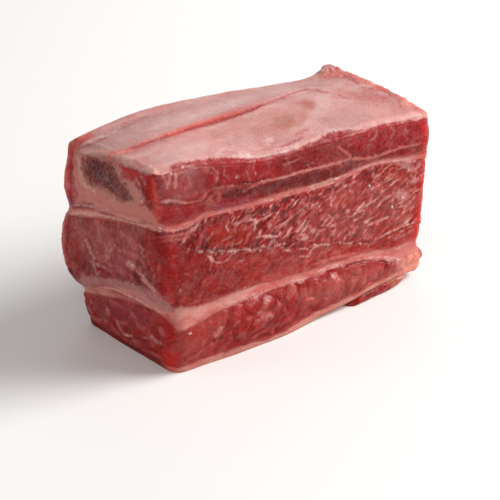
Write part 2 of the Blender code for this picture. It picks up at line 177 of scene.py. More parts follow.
# Where looks change: from the place without a look to the place with it, in millimetres, s or pixels.
RICH_MARBLING_X = (-50, 10)
PALE_FOOT_X = (-25, -50)
GLOW_X = (40, 50)
GLOW_Y = (-12, -25)
DARK_END_X = (0, -10)
SPECKLED_SKIN_Y = (16, 0)
BARE_MEAT_Y = (-18, -22)
BARE_MEAT_PX = (166, 174)
LUMPY_SKIN_S = (0.94, 0.99)
ROUGH_CREASE_PX = (300, 250)
CREASE_START_PX = (182, 192)
CREASE_POCKETS_PX = (280, 250)
# Where the dark reds of the lowest fat's end stop, the crease runs on hidden faces, and their seam lies by a
# share of the height.
DARK_END_Y = -21
HIDDEN_CREASE_Z = 30
HIDDEN_SEAM_HEIGHT = 0.42

# The slants of the grain, the smaller muscle's lumps with the height of their lips, and the marrow's pores.
GRAIN_SLANTS = (0.34, 0.8)
LUMP_WIDTH = 7.6
LUMP_HEIGHT = 6.0
LUMP_SLOPE = 0.4
LUMP_LIP = 1.2
PORE_SIZE = 1.3
# How large the frays of a mark's edge and its worn places are.
FRAY_SIZE = 1.4
WEAR_SIZE = 1.8

# How bright the lamps make white paint, what the wet film's sheen adds to any paint, and the darkest paint.
LIGHT = 1.22
SHEEN = 0.026
LEAST_PAINT = 0.002


def seen(*srgb):
    """Linear paint for a colour as it is seen, in sRGB from 0 to 255."""
    bright = [c / 255 / 12.92 if c <= 10 else ((c / 255 + 0.055) / 1.055) ** 2.4 for c in srgb]
    return np.maximum(np.array(bright) - SHEEN, LEAST_PAINT) / LIGHT


# The paints, by their colours as they are seen.
# The shade painted into cuts and pockets.
SLIT_SHADE = seen(84, 12, 20)
LEAN_DARK = seen(110, 22, 28)
LEAN_DEEP = seen(132, 32, 38)
LEAN = seen(156, 46, 50)
LEAN_WARM = seen(172, 62, 56)
LEAN_PALE = seen(198, 108, 100)
RUST = seen(172, 60, 38)
VIVID = seen(176, 28, 34)
BLOOD = seen(136, 22, 28)
EDGE_RED = seen(224, 54, 52)
CRIMSON = seen(170, 42, 52)
PURPLE = seen(114, 30, 40)
PURPLE_PALE = seen(164, 76, 86)
FAT = seen(224, 166, 154)
FAT_PINK = seen(206, 120, 112)
FAT_RED = seen(190, 88, 84)
FAT_TAN = seen(204, 146, 120)
MILKY = seen(208, 150, 146)
GLINT = seen(252, 226, 220)
CORAL = seen(230, 106, 94)
CORAL_PALE = seen(246, 160, 138)
TAN = seen(190, 126, 110)
SKIN_PINK = seen(220, 158, 152)
SKIN_GREY = seen(196, 148, 144)
SKIN_SHEEN = seen(230, 192, 186)
BONE_PINK = seen(206, 129, 119)
BONE_GREY = seen(178, 127, 115)
BONE_PALE = seen(238, 186, 172)
MARROW = seen(126, 40, 38)
MARROW_DARK = seen(84, 20, 24)
CREAM = seen(255, 190, 176)
RIM_RED = seen(214, 86, 80)


# ---------------------------------------------------------------- small helpers


def curve_at(points, x):
    """Heights at x (an array) of a smooth line through points, level beyond its ends."""
    places = np.array([p[0] for p in points], float)
    heights = np.array([p[1] for p in points], float)
    x = np.clip(x, places[0], places[-1])
    i = np.clip(np.searchsorted(places, x, side="right") - 1, 0, len(points) - 2)
    before, after = np.maximum(i - 1, 0), np.minimum(i + 2, len(points) - 1)
    slope0 = (heights[i + 1] - heights[before]) / (places[i + 1] - places[before])
    slope1 = (heights[after] - heights[i]) / (places[after] - places[i])
    width = places[i + 1] - places[i]
    u = (x - places[i]) / width
    rise = heights[i] * (1 + 2 * u) * (1 - u) ** 2 + heights[i + 1] * u * u * (3 - 2 * u)
    return rise + width * (slope0 * u * (1 - u) ** 2 - slope1 * u * u * (1 - u))


def mix(a, b, share):
    return a + (b - a) * share


def ease(x, low, high):
    """0 up to low, 1 from high on, and smooth between them; low may be the larger number."""
    u = np.clip((x - low) / (high - low), 0.0, 1.0)
    return u * u * (3 - 2 * u)


def hump(x):
    """A smooth hump: 1 where x is 0, and 0 from x = 1 on."""
    return (1 - np.minimum(np.abs(x), 1.0) ** 2) ** 2


DRAW = np.random.default_rng(7)
SHUFFLE = DRAW.permutation(256)
GRADIENTS = DRAW.normal(size=(256, 3))
GRADIENTS /= np.linalg.norm(GRADIENTS, axis=1)[:, None]
SPOTS = DRAW.random((256, 3))


def cell_number(ix, iy, iz):
    """A shuffled number from 0 to 255 for each cell of the lattice."""
    return SHUFFLE[(SHUFFLE[(SHUFFLE[ix & 255] + iy) & 255] + iz) & 255]


def ripple(x, y, z=0.0, seed=0):
    """Smooth noise from about -1 to 1, one bump per unit."""
    x, y, z = np.broadcast_arrays(x + seed * 17.3, y - seed * 9.1, np.asarray(z) + seed * 5.7)
    corner = [np.floor(v).astype(int) for v in (x, y, z)]
    inside = [v - c for v, c in zip((x, y, z), corner)]
    fade = [f * f * f * (f * (f * 6 - 15) + 10) for f in inside]
    total = np.zeros(x.shape)
    for step in np.ndindex(2, 2, 2):
        number = cell_number(*(c + d for c, d in zip(corner, step)))
        slope = GRADIENTS[number]
        dot = sum(slope[..., k] * (inside[k] - step[k]) for k in range(3))
        weight = 1.0
        for k in range(3):
            weight = weight * (fade[k] if step[k] else 1 - fade[k])
        total += weight * dot
    return 1.6 * total


def ripples(x, y, z=0.0, seed=0, octaves=3):
    """Layers of smooth noise, each half as large as the one before."""
    total = 0.0
    for k in range(octaves):
        total = total + ripple(x * 2**k, y * 2**k, np.asarray(z) * 2**k, seed + k) / 2**k
    return total


def pebbles(x, y, z, seed):
    """Distances to the nearest and the second nearest of scattered spots, one spot per unit cell."""
    x, y, z = x + seed * 3.7, y + seed * 8.3, z + seed * 1.9
    corner = [np.floor(v).astype(int) for v in (x, y, z)]
    nearest = np.full(x.shape, 9.0)
    second = np.full(x.shape, 9.0)
    for step in np.ndindex(3, 3, 3):
        cell = [c + d - 1 for c, d in zip(corner, step)]
        spot = SPOTS[cell_number(*cell)]
        gap = np.sqrt(sum((cell[k] + spot[..., k] - v) ** 2 for k, v in enumerate((x, y, z))))
        second = np.minimum(second, np.maximum(nearest, gap))
        nearest = np.minimum(nearest, gap)
    return nearest, second


# ---------------------------------------------------------------- the block's form


def surface_height(name, s, t):
    """Height of one of the surfaces between the layers."""
    lines = SURFACES[name]
    front, back = curve_at(lines["front"], s), curve_at(lines["back"], s)
    flat_end = mix(lines["front"][0][1], lines["back"][0][1], t)
    end_form = curve_at(lines["left"], t) - flat_end
    return mix(front, back, t) + end_form * np.exp(-s / LEFT_END_REACH)


def to_edges(s, t):
    """Distances to the nearer end and to the nearer long face."""
    return np.minimum(s, 1 - s) * LENGTH, np.minimum(t, 1 - t) * DEPTH


def skin_bottom(s, t):
    """Underside of the skin: the crowned top, rounded off towards its four edges."""
    to_end, to_face = to_edges(s, t)
    rounding = np.maximum(hump(to_end / TOP_EDGE_ROUNDING), hump(to_face / TOP_EDGE_ROUNDING))
    crown = curve_at(TOP_CROWN, s) * 4 * t * (1 - t)
    return surface_height("top", s, t) + crown - TOP_EDGE_DROP * rounding - SKIN_THICKNESS


def groove_share(s, t):
    """1 in the middle of the groove beside the bone and 0 outside it."""
    return hump((t - curve_at(GROOVE["at"], s)) / GROOVE["width"]) * (1 - ease(s, *GROOVE["fade"]))


def knob_share(s, t):
    """1 on top of the knob of fat and 0 outside it."""
    return hump((s - KNOB["s"]) / KNOB["radius_s"]) * hump((t - KNOB["t"]) / KNOB["radius_t"])


def skin_top(s, t):
    """Top of the skin, with the groove beside the bone and the knob of fat."""
    height = skin_bottom(s, t) + SKIN_THICKNESS
    return height - groove_share(s, t) * GROOVE["depth"] + knob_share(s, t) * KNOB["height"]


def underside(s, t):
    """Underside of the foot, nowhere below the floor."""
    return np.maximum(surface_height("underside", s, t), 0.0)


def named(surface):
    """The height function of one of the surfaces."""
    return lambda s, t: surface_height(surface, s, t)


def plan(s, t, z, bulge):
    """X and Y of points at height z, pushed out by bulge where they lie on an end or a long face."""
    left = mix(curve_at(LEFT_END_NEAR, z), curve_at(LEFT_END_FAR, z), t)
    right = mix(curve_at(RIGHT_END_NEAR, z), curve_at(RIGHT_END_FAR, z), t)
    spread = curve_at(FOOT_SPREAD, s) * (1 - ease(z, *FOOT_SPREAD_HEIGHTS))
    front = curve_at(FRONT_FACE, z) - spread
    back = mix(curve_at(BACK_FACE_LEFT, z), curve_at(BACK_FACE_RIGHT, z), s)
    x, y = mix(left, right, s), mix(front, back, t)
    places = np.stack([x, y, z + 0 * x], -1).reshape(-1, 3) / WANDER_SPACING
    stray = np.array([noise.noise(Vector(p)) for p in places]).reshape(x.shape)
    reach = bulge + WANDER * stray
    x = x + reach * (2 * s - 1) ** FADE_POWER + CENTRING[0]
    y = y + reach * (2 * t - 1) ** FADE_POWER + CENTRING[1]
    return x, y


# ---------------------------------------------------------------- the photograph's view


def view_axes():
    """The camera's place and its right, up and forward directions."""
    sin_a, cos_a = math.sin(VIEW_AZIMUTH), math.cos(VIEW_AZIMUTH)
    sin_e, cos_e = math.sin(VIEW_ELEVATION), math.cos(VIEW_ELEVATION)
    back = np.array([sin_a * cos_e, -cos_a * cos_e, sin_e])
    right = np.array([cos_a, sin_a, 0.0])
    return VIEW_TARGET + VIEW_DISTANCE * back, right, np.cross(back, right), -back


def pixels_of(x, y, z):
    """The photograph's pixels at which places are seen."""
    eye, right, up, forward = view_axes()
    ray = np.stack([x, y, z], -1) - eye
    scale = FOCAL_PX / (ray @ forward)
    return FRAME_PX / 2 + (ray @ right) * scale, FRAME_PX / 2 - (ray @ up) * scale


def rounded_line(points, closed):
    """A smooth line through points, cut into parts between them."""
    points = np.array(points, float)
    count = len(points)
    spans = count if closed else count - 1
    line = []
    for i in range(spans):
        if closed:
            p0, p1, p2, p3 = (points[(i + k) % count] for k in (-1, 0, 1, 2))
        else:
            p0, p1, p2, p3 = (points[min(max(i + k, 0), count - 1)] for k in (-1, 0, 1, 2))
        for step in range(LINE_PARTS):
            u = step / LINE_PARTS
            bend = (2 * p0 - 5 * p1 + 4 * p2 - p3) * u * u + (3 * p1 - p0 - 3 * p2 + p3) * u**3
            line.append(0.5 * (2 * p1 + (p2 - p0) * u + bend))
    line.append(points[0] if closed else points[-1])
    return np.array(line)


def line_distance(a, b, line):
    """Distance from places (a, b) to a line, and how far along it the nearest point is, from 0 to 1."""
    best = np.full(a.shape, 1e9)
    along = np.zeros(a.shape)
    for i, (start, end) in enumerate(zip(line[:-1], line[1:])):
        run = end - start
        u = np.clip(((a - start[0]) * run[0] + (b - start[1]) * run[1]) / max(run @ run, 1e-9), 0, 1)
        gap = (a - start[0] - u * run[0]) ** 2 + (b - start[1] - u * run[1]) ** 2
        closer = gap < best
        best = np.where(closer, gap, best)
        along = np.where(closer, (i + u) / (len(line) - 1), along)
    return np.sqrt(best), along


def inside_outline(a, b, line):
    """True where places (a, b) lie inside a closed line."""
    odd = np.zeros(a.shape, bool)
    for (a0, b0), (a1, b1) in zip(line[:-1], line[1:]):
        crosses = (b0 > b) != (b1 > b)
        odd ^= crosses & (a < (a1 - a0) * (b - b0) / (b1 - b0 + 1e-12) + a0)
    return odd


# ---------------------------------------------------------------- marks


def vein(colour, most, width, *pixels, soft=1.8, ragged=1.2, rise=0.06, fat=0.8, broken=0.5):
    """A line through pixels; rise lifts or sinks it, in millimetres, and broken thins it in places."""
    return {"colour": colour, "most": most, "width": width, "pixels": pixels, "soft": soft, "ragged": ragged,
            "rise": rise, "fat": fat, "broken": broken, "pores": 0.0, "closed": False}


def shaded_slit(most, width, *pixels, colour=SLIT_SHADE):
    """A cut, sunk a little and painted dark with the shade that falls in it."""
    return vein(colour, 0.8 * most, width, *pixels, soft=1.8, ragged=0.9, rise=-0.35, fat=0.0)


def patch(colour, most, soft, *pixels, ragged=2.0, rise=0.0, fat=0.4, broken=0.35, pores=0.0):
    """A soft-edged field inside an outline."""
    return {"colour": colour, "most": most, "width": 0, "pixels": pixels, "soft": soft, "ragged": ragged,
            "rise": rise, "fat": fat, "broken": broken, "pores": pores, "closed": True}


def glint(most, size, *pixels):
    """A small wet highlight."""
    return vein(GLINT, most, size, *pixels, soft=1.3, ragged=0.9, rise=0.1, broken=0.2)


def veins(colour, most, width, *lines, **style):
    """Several lines of one kind."""
    return [vein(colour, most, width, *line, **style) for line in lines]


def glints(most, size, *lines):
    """Several highlights of one kind."""
    return [glint(most, size, *line) for line in lines]


RIB_MEAT_MARKS = [
    patch(MILKY, 0.14, 8, (156, 176), (168, 168), (186, 165), (198, 170), (204, 184), (196, 196),
          (172, 198), (158, 196)),
    patch(PURPLE_PALE, 0.25, 8, (160, 180), (176, 178), (192, 184), (190, 196), (168, 196)),
    patch(CRIMSON, 0.5, 8, (202, 166), (228, 164), (250, 162), (274, 160), (272, 174), (246, 182),
          (214, 184), (204, 178)),
    patch(CRIMSON, 0.5, 7, (160, 208), (178, 207), (198, 208), (196, 218), (180, 226), (164, 224)),
    patch(CRIMSON, 0.45, 8, (356, 132), (380, 128), (402, 124), (422, 122), (422, 140), (396, 148),
          (372, 150), (354, 146)),
    patch(LEAN_DEEP, 0.5, 6, (276, 160), (300, 150), (318, 144), (334, 142), (346, 154), (332, 161),
          (316, 166), (284, 176)),
    patch(LEAN_PALE, 0.15, 6, (326, 146), (336, 148), (346, 157), (334, 161), (322, 156)),
    patch(MILKY, 0.2, 5, (176, 165), (190, 164), (206, 163), (210, 170), (196, 176), (180, 174)),
    vein(MILKY, 0.6, 2.6, (163, 168), (168, 172), (169, 180), (166, 188), soft=2.6),
    vein(FAT, 0.55, 1.8, (170, 169), (175, 172), (175.5, 181), (174, 190)),
    vein(FAT, 0.4, 1.4, (161, 172), (165, 180), (168, 188)),
    vein(FAT, 0.4, 1.5, (180, 168), (190, 167), (198, 169)),
    vein(MILKY, 0.35, 1.4, (188, 176), (190, 186)),
    vein(LEAN_WARM, 0.5, 2.0, (198, 181), (203, 190), (198, 197), (188, 197)),
    vein(MILKY, 0.5, 1.4, (213, 168), (218, 174), (216, 182)),
    vein(MILKY, 0.6, 1.4, (255, 160), (254, 168), (256, 175)),
    *veins(MILKY, 0.4, 1.4, [(236, 174), (239, 179)], [(246, 171), (250, 180)]),
    vein(MILKY, 0.35, 1.4, (226, 166), (224, 174), (230, 180)),
    shaded_slit(0.6, 1.4, (237, 182), (248, 183), (258, 182), (272, 176)),
    shaded_slit(0.4, 1.3, (304, 165), (312, 163), (318, 162)),
    vein(FAT_RED, 0.5, 1.4, (318, 145), (317, 160)),
    vein(FAT_PINK, 0.7, 2.0, (337, 146), (345, 152), (352, 159), soft=2.6, broken=0.2),
    vein(FAT_RED, 0.5, 1.6, (368, 130), (369, 136), (364, 141)),
    vein(MILKY, 0.4, 2.2, (371, 129), (376, 131), (374, 138), (368, 141), soft=2.6),
    vein(MILKY, 0.4, 2.0, (390, 126), (394, 132), (391, 138), soft=2.6),
    vein(MILKY, 0.35, 1.6, (404, 128), (408, 134), soft=2.4),
    vein(FAT_RED, 0.4, 1.6, (384, 128), (386, 136)),
    vein(MILKY, 0.4, 1.4, (282, 165), (292, 162), (300, 158)),
    vein(MILKY, 0.4, 1.3, (286, 158), (289, 164)),
    glint(0.9, 1.5, (182, 167), (183, 168)),
    *glints(0.6, 1.3, [(191, 172), (192, 172)], [(171, 173), (172, 174)]),
    *glints(0.5, 1.2, [(236, 177), (237, 178)], [(262, 181), (263, 181)], [(311, 163), (313, 162)]),
]

SEAM_MARKS = [
    # The dark muscle under the upper seam, and the pink grainy start of it.
    patch(PURPLE, 0.9, 5, (225, 193), (236, 190), (252, 190), (272, 183), (296, 177), (324, 171),
          (342, 167), (352, 165), (352, 169), (342, 173), (324, 180), (300, 185), (276, 191), (252, 199),
          (234, 204), (226, 203), (222, 198), ragged=2.2, fat=0.0, broken=0.25, rise=-0.15),
    patch(PURPLE, 0.8, 6, (226, 193), (244, 189), (262, 187), (282, 180), (284, 186), (262, 195),
          (240, 201), (228, 203), (223, 198), ragged=2.4, fat=0.0, broken=0.2, rise=-0.1),
    patch(CRIMSON, 0.45, 5, (224, 200), (240, 197), (258, 192), (262, 196), (240, 203), (226, 206)),
    patch(PURPLE_PALE, 0.7, 4, (216, 204), (234, 202), (250, 197), (250, 204), (230, 211), (214, 212)),
    vein(LEAN_DARK, 0.6, 2.0, (290, 188), (310, 184), (326, 180), (340, 175)),
    vein(MILKY, 0.65, 3.4, (160, 202), (172, 201), (187, 203), soft=2.4),
    vein(FAT_PINK, 0.5, 2.4, (187, 203), (200, 200), (207, 192), (217, 188), (238, 186), soft=3.0),
    vein(FAT_RED, 0.6, 2.0, (190, 206), (203, 204), (210, 198), (214, 192)),
    vein(FAT_PINK, 0.4, 4.0, (215, 189), (219, 195), (217, 202), (211, 206), soft=4.6, rise=0.15),
    vein(FAT_PINK, 0.8, 2.8, (243, 192), (256, 185), (270, 180), (284, 177), (300, 172), (325, 166),
         (340, 162), (352, 159), (364, 159), (376, 156), (388, 152), (404, 147), (424, 143), soft=2.2,
         rise=0.2, broken=0.3),
    vein(MILKY, 0.5, 1.3, (268, 181), (284, 177), (300, 172), (318, 168), (340, 162), soft=1.4, rise=0.1),
    vein(FAT_RED, 0.5, 2.0, (380, 163), (396, 158), (412, 154), (425, 151)),
    vein(MILKY, 0.7, 1.5, (150, 229), (162, 231), (174, 231), (188, 227), (198, 219), (207, 213),
         (216, 212)),
    vein(FAT_PINK, 0.7, 3.4, (214, 213), (230, 210), (243, 206), (257, 202), (270, 197), (285, 193),
         (298, 190), (312, 188), (324, 184), soft=2.6, rise=0.15),
    # A pale streak of fat with a painted highlight along it.
    vein(FAT, 0.7, 2.6, (308, 187), (318, 184), (330, 180), (340, 177), (347, 174), soft=1.8, rise=0.25,
         broken=0.2),
    glint(0.7, 1.6, (331, 181), (338, 178)),
    vein(MILKY, 0.6, 2.4, (345, 174), (358, 169), (370, 165), (385, 162), (398, 160), (412, 158), soft=2.4),
    patch(MILKY, 0.6, 4, (394, 160), (404, 159), (413, 158), (411, 167), (406, 170), (400, 166)),
    patch(RUST, 0.35, 8, (378, 168), (390, 165), (400, 166), (408, 170), (404, 178), (390, 176)),
    vein(LEAN_DARK, 0.5, 2.4, (407, 172), (410, 180), (406, 186)),
    vein(FAT_PINK, 0.65, 2.6, (150, 239), (165, 237), (178, 235), (190, 231), (200, 222), soft=2.6,
         broken=0.25),
    vein(FAT_PINK, 0.55, 2.2, (156, 243), (170, 240), (184, 239), (192, 232), (198, 225), soft=2.6,
         broken=0.25),
    vein(MILKY, 0.55, 3.0, (190, 231), (196, 227), (200, 221), soft=2.4),
    vein(LEAN_DEEP, 0.5, 1.4, (152, 234), (166, 234), (182, 232), (194, 225)),
    glint(0.8, 1.4, (159, 227), (161, 229)),
]

MUSCLE_MARKS = [
    patch(BLOOD, 0.6, 10, (160, 240), (176, 242), (186, 256), (182, 280), (178, 303), (168, 300),
          (158, 270)),
    patch(LEAN_DEEP, 0.5, 10, (184, 262), (200, 258), (206, 276), (198, 294), (184, 300), (180, 282)),
    patch(RUST, 0.5, 8, (206, 228), (222, 222), (236, 224), (252, 228), (250, 242), (212, 246)),
    patch(RUST, 0.35, 8, (330, 190), (350, 184), (352, 200), (338, 204)),
    patch(RUST, 0.4, 7, (372, 226), (392, 218), (398, 232), (380, 240)),
    patch(LEAN_PALE, 0.25, 14, (300, 220), (330, 196), (372, 182), (408, 172), (412, 214), (360, 238),
          (306, 244)),
    # Fat threads round the left part of the crease.
    vein(MILKY, 0.7, 1.5, (206, 255), (212, 259), (215, 262), (224, 262), (233, 254), (238, 251)),
    vein(FAT, 0.8, 2.8, (209, 256), (212, 260), (214, 262), soft=2.0),
    vein(MILKY, 0.6, 1.4, (212, 261), (209, 270)),
    vein(FAT, 0.8, 1.5, (229, 252), (238, 250), (247, 249), (253, 252)),
    vein(MILKY, 0.75, 1.8, (233, 225), (242, 222), (252, 220)),
    vein(FAT, 0.85, 2.8, (250, 219), (255, 222), (254, 232)),
    vein(MILKY, 0.5, 1.4, (255, 222), (262, 219), (272, 214)),
    vein(FAT, 0.8, 2.2, (256, 237), (266, 236), (277, 236)),
    vein(MILKY, 0.75, 1.6, (288, 230), (277, 236), (270, 243), (267, 246)),
    vein(FAT, 0.6, 1.6, (274, 239), (274, 247)),
    vein(FAT, 0.6, 2.4, (226, 224), (228, 231), soft=2.4),
    vein(MILKY, 0.4, 1.4, (206, 241), (212, 234), (216, 228)),
    *veins(FAT_RED, 0.5, 2.2, [(196, 246), (201, 238), (204, 231)], [(201, 236), (206, 226), (212, 220)],
           soft=2.8),
    vein(MILKY, 0.5, 1.4, (236, 244), (243, 240)),
    vein(MILKY, 0.45, 1.4, (222, 241), (232, 236)),
    vein(FAT, 0.7, 1.4, (297, 239), (306, 238), (305, 235), (299, 235)),
    vein(MILKY, 0.5, 1.3, (304, 228), (310, 221)),
    vein(MILKY, 0.5, 2.2, (306, 196), (305, 202), (308, 207), soft=2.8),
    # Bright dashes along the grain on the right.
    vein(FAT, 0.75, 1.3, (344, 217), (352, 216), (360, 207)),
    vein(FAT, 0.85, 1.5, (366, 206), (372, 202), (378, 198)),
    vein(MILKY, 0.65, 2.4, (380, 201), (387, 197), (396, 192), soft=2.4),
    patch(MILKY, 0.6, 4, (395, 193), (402, 190), (408, 194), (405, 200), (398, 199)),
    vein(FAT_PINK, 0.6, 1.8, (405, 193), (411, 190), (417, 188), soft=2.2),
    *veins(FAT, 0.8, 1.3, [(365, 223), (370, 219), (374, 217)], [(375, 224), (382, 220), (390, 216)]),
    vein(FAT, 0.85, 1.5, (385, 234), (394, 229), (404, 225), (416, 222)),
    vein(MILKY, 0.6, 1.4, (368, 246), (375, 240), (385, 234)),
    vein(CORAL_PALE, 0.6, 1.2, (396, 221), (405, 209), (416, 195)),
    *veins(MILKY, 0.5, 1.3, [(392, 240), (403, 236), (413, 230)], [(312, 234), (318, 231), (324, 229)]),
    vein(FAT, 0.7, 1.4, (300, 256), (309, 256), (313, 248), (320, 245), (330, 243), (342, 241)),
    vein(MILKY, 0.5, 2.2, (328, 215), (334, 221), soft=2.6),
    vein(MILKY, 0.5, 1.8, (350, 184), (349, 190), (353, 192)),
    vein(MILKY, 0.45, 1.4, (360, 239), (367, 232)),
    *veins(MILKY, 0.4, 1.3, [(341, 236), (346, 228), (350, 236)], [(316, 208), (322, 203), (330, 198)],
           [(334, 198), (340, 190), (344, 182)], [(357, 200), (362, 194), (366, 192)]),
    glint(0.9, 1.9, (369, 185), (370, 186)),
    *glints(0.6, 1.5, [(391, 206), (393, 208)], [(402, 196), (403, 198)]),
    *glints(0.5, 1.4, [(386, 233), (388, 233)], [(319, 206), (320, 207)], [(331, 204), (331, 206)]),
    glint(0.9, 1.9, (201, 251), (202, 252)),
    glint(0.5, 1.3, (283, 243), (284, 244)),
    glint(0.6, 1.4, (314, 245), (316, 244)),
    shaded_slit(0.5, 1.6, (345, 237), (347, 233)),
    shaded_slit(0.5, 1.6, (351, 240), (355, 235)),
    # Pale knots along the crease.
    vein(MILKY, 0.65, 2.4, (187, 248), (190, 250), soft=2.2),
    vein(MILKY, 0.7, 3.0, (198, 251), (202, 252), soft=2.4),
    vein(FAT, 0.7, 3.0, (207, 250), (213, 253), soft=2.4),
    vein(MILKY, 0.6, 2.6, (219, 250), (223, 252), soft=2.2),
    vein(FAT, 0.7, 3.2, (228, 252), (236, 250), soft=2.6),
    vein(MILKY, 0.65, 2.8, (242, 248), (250, 249), soft=2.4),
    *veins(MILKY, 0.6, 2.6, [(257, 248), (261, 250)], [(267, 247), (272, 248)], soft=2.2),
    vein(MILKY, 0.6, 2.2, (279, 248), (284, 247), soft=2.0),
    # Small dashes in the smoother meat under the crease.
    vein(MILKY, 0.5, 1.2, (238, 262), (244, 259)),
    vein(LEAN_PALE, 0.5, 1.2, (250, 268), (257, 267)),
    vein(MILKY, 0.5, 1.2, (229, 276), (233, 274)),
    vein(LEAN_PALE, 0.6, 1.4, (184, 274), (190, 274)),
    vein(FAT, 0.6, 1.3, (179, 292), (182, 289)),
    *veins(LEAN_PALE, 0.4, 1.2, [(268, 258), (276, 255)], [(284, 262), (292, 257)]),
    vein(LEAN_DARK, 0.5, 2.6, (208, 276), (210, 266), soft=2.6),
]

FOOT_MARKS = [
    patch(FAT_PINK, 0.6, 5, (174, 310), (186, 309), (196, 309), (190, 318), (180, 331), (175, 330)),
    patch(FAT, 0.45, 4, (175, 311), (182, 310), (190, 310), (183, 318), (177, 322)),
    patch(FAT_RED, 0.5, 7, (340, 259), (370, 255), (398, 251), (400, 256), (372, 259), (346, 263)),
    patch(MILKY, 0.55, 6, (386, 258), (400, 256), (408, 248), (414, 252), (414, 266), (402, 268),
          (392, 263)),
    patch(CORAL_PALE, 0.45, 5, (400, 262), (412, 256), (417, 262), (412, 270), (402, 274), (396, 270)),
    vein(FAT, 0.8, 1.3, (366, 258), (380, 257), (392, 258), (400, 260)),
    shaded_slit(0.8, 1.5, (344, 268), (358, 262), (370, 260), (384, 262), (394, 264)),
    shaded_slit(0.4, 1.4, (184, 361), (194, 353), (206, 346), (216, 341), (228, 338)),
    shaded_slit(0.3, 1.4, (222, 356), (234, 350), (246, 344)),
    shaded_slit(0.45, 1.4, (262, 338), (276, 330), (290, 322)),
    # Painted highlights on the tops of lumps, in milky pink.
    vein(MILKY, 0.55, 3.0, (215, 337), (219, 331), (222, 328), soft=2.8, rise=0.3),
    vein(MILKY, 0.55, 3.4, (265, 318), (269, 315), (273, 317), soft=3.0, rise=0.3),
    vein(MILKY, 0.4, 1.8, (256, 322), (262, 318), soft=2.2),
    vein(MILKY, 0.3, 1.8, (234, 326), (240, 320), soft=2.6),
    *veins(LEAN_PALE, 0.5, 2.6, [(350, 268), (356, 266), (362, 272)], [(344, 282), (346, 290)], soft=3.0),
    *veins(LEAN_PALE, 0.4, 2.6, [(328, 290), (330, 298)], [(312, 296), (314, 306)], soft=3.0),
    glint(0.6, 1.6, (189, 334), (192, 333)),
    *glints(0.4, 1.4, [(220, 330), (221, 329)], [(268, 316), (270, 316)]),
    patch(FAT_RED, 0.4, 6, (204, 322), (222, 314), (240, 310), (238, 318), (218, 324), (206, 330)),
    patch(LEAN_PALE, 0.45, 9, (300, 292), (330, 280), (360, 268), (392, 268), (400, 274), (366, 286),
          (336, 300), (306, 306)),
    vein(FAT_PINK, 0.75, 3.0, (314, 264), (330, 259), (344, 256), (360, 253), soft=2.6),
    patch(FAT_RED, 0.7, 4, (262, 278), (272, 273), (284, 273), (292, 277), (284, 284), (270, 286)),
    patch(FAT, 0.5, 5, (176, 308), (200, 306), (222, 298), (246, 288), (250, 293), (226, 304), (200, 312),
          (180, 316)),
    patch(EDGE_RED, 0.5, 8, (160, 352), (170, 350), (178, 356), (176, 370), (166, 368)),
    patch(VIVID, 0.5, 8, (164, 316), (172, 318), (176, 334), (170, 346), (164, 336)),
    # Pale pink painted highlights on two lumps.
    patch(FAT_PINK, 0.65, 4, (212, 336), (218, 328), (224, 326), (224, 331), (218, 338)),
    patch(FAT_PINK, 0.7, 4, (258, 312), (266, 311), (275, 315), (268, 320), (261, 318)),
    # The strip under it.
    patch(FAT_PINK, 0.6, 4, (342, 299), (352, 295), (360, 294), (352, 300), (345, 303)),
    patch(FAT_TAN, 0.5, 6, (390, 276), (400, 272), (402, 284), (392, 288)),
]

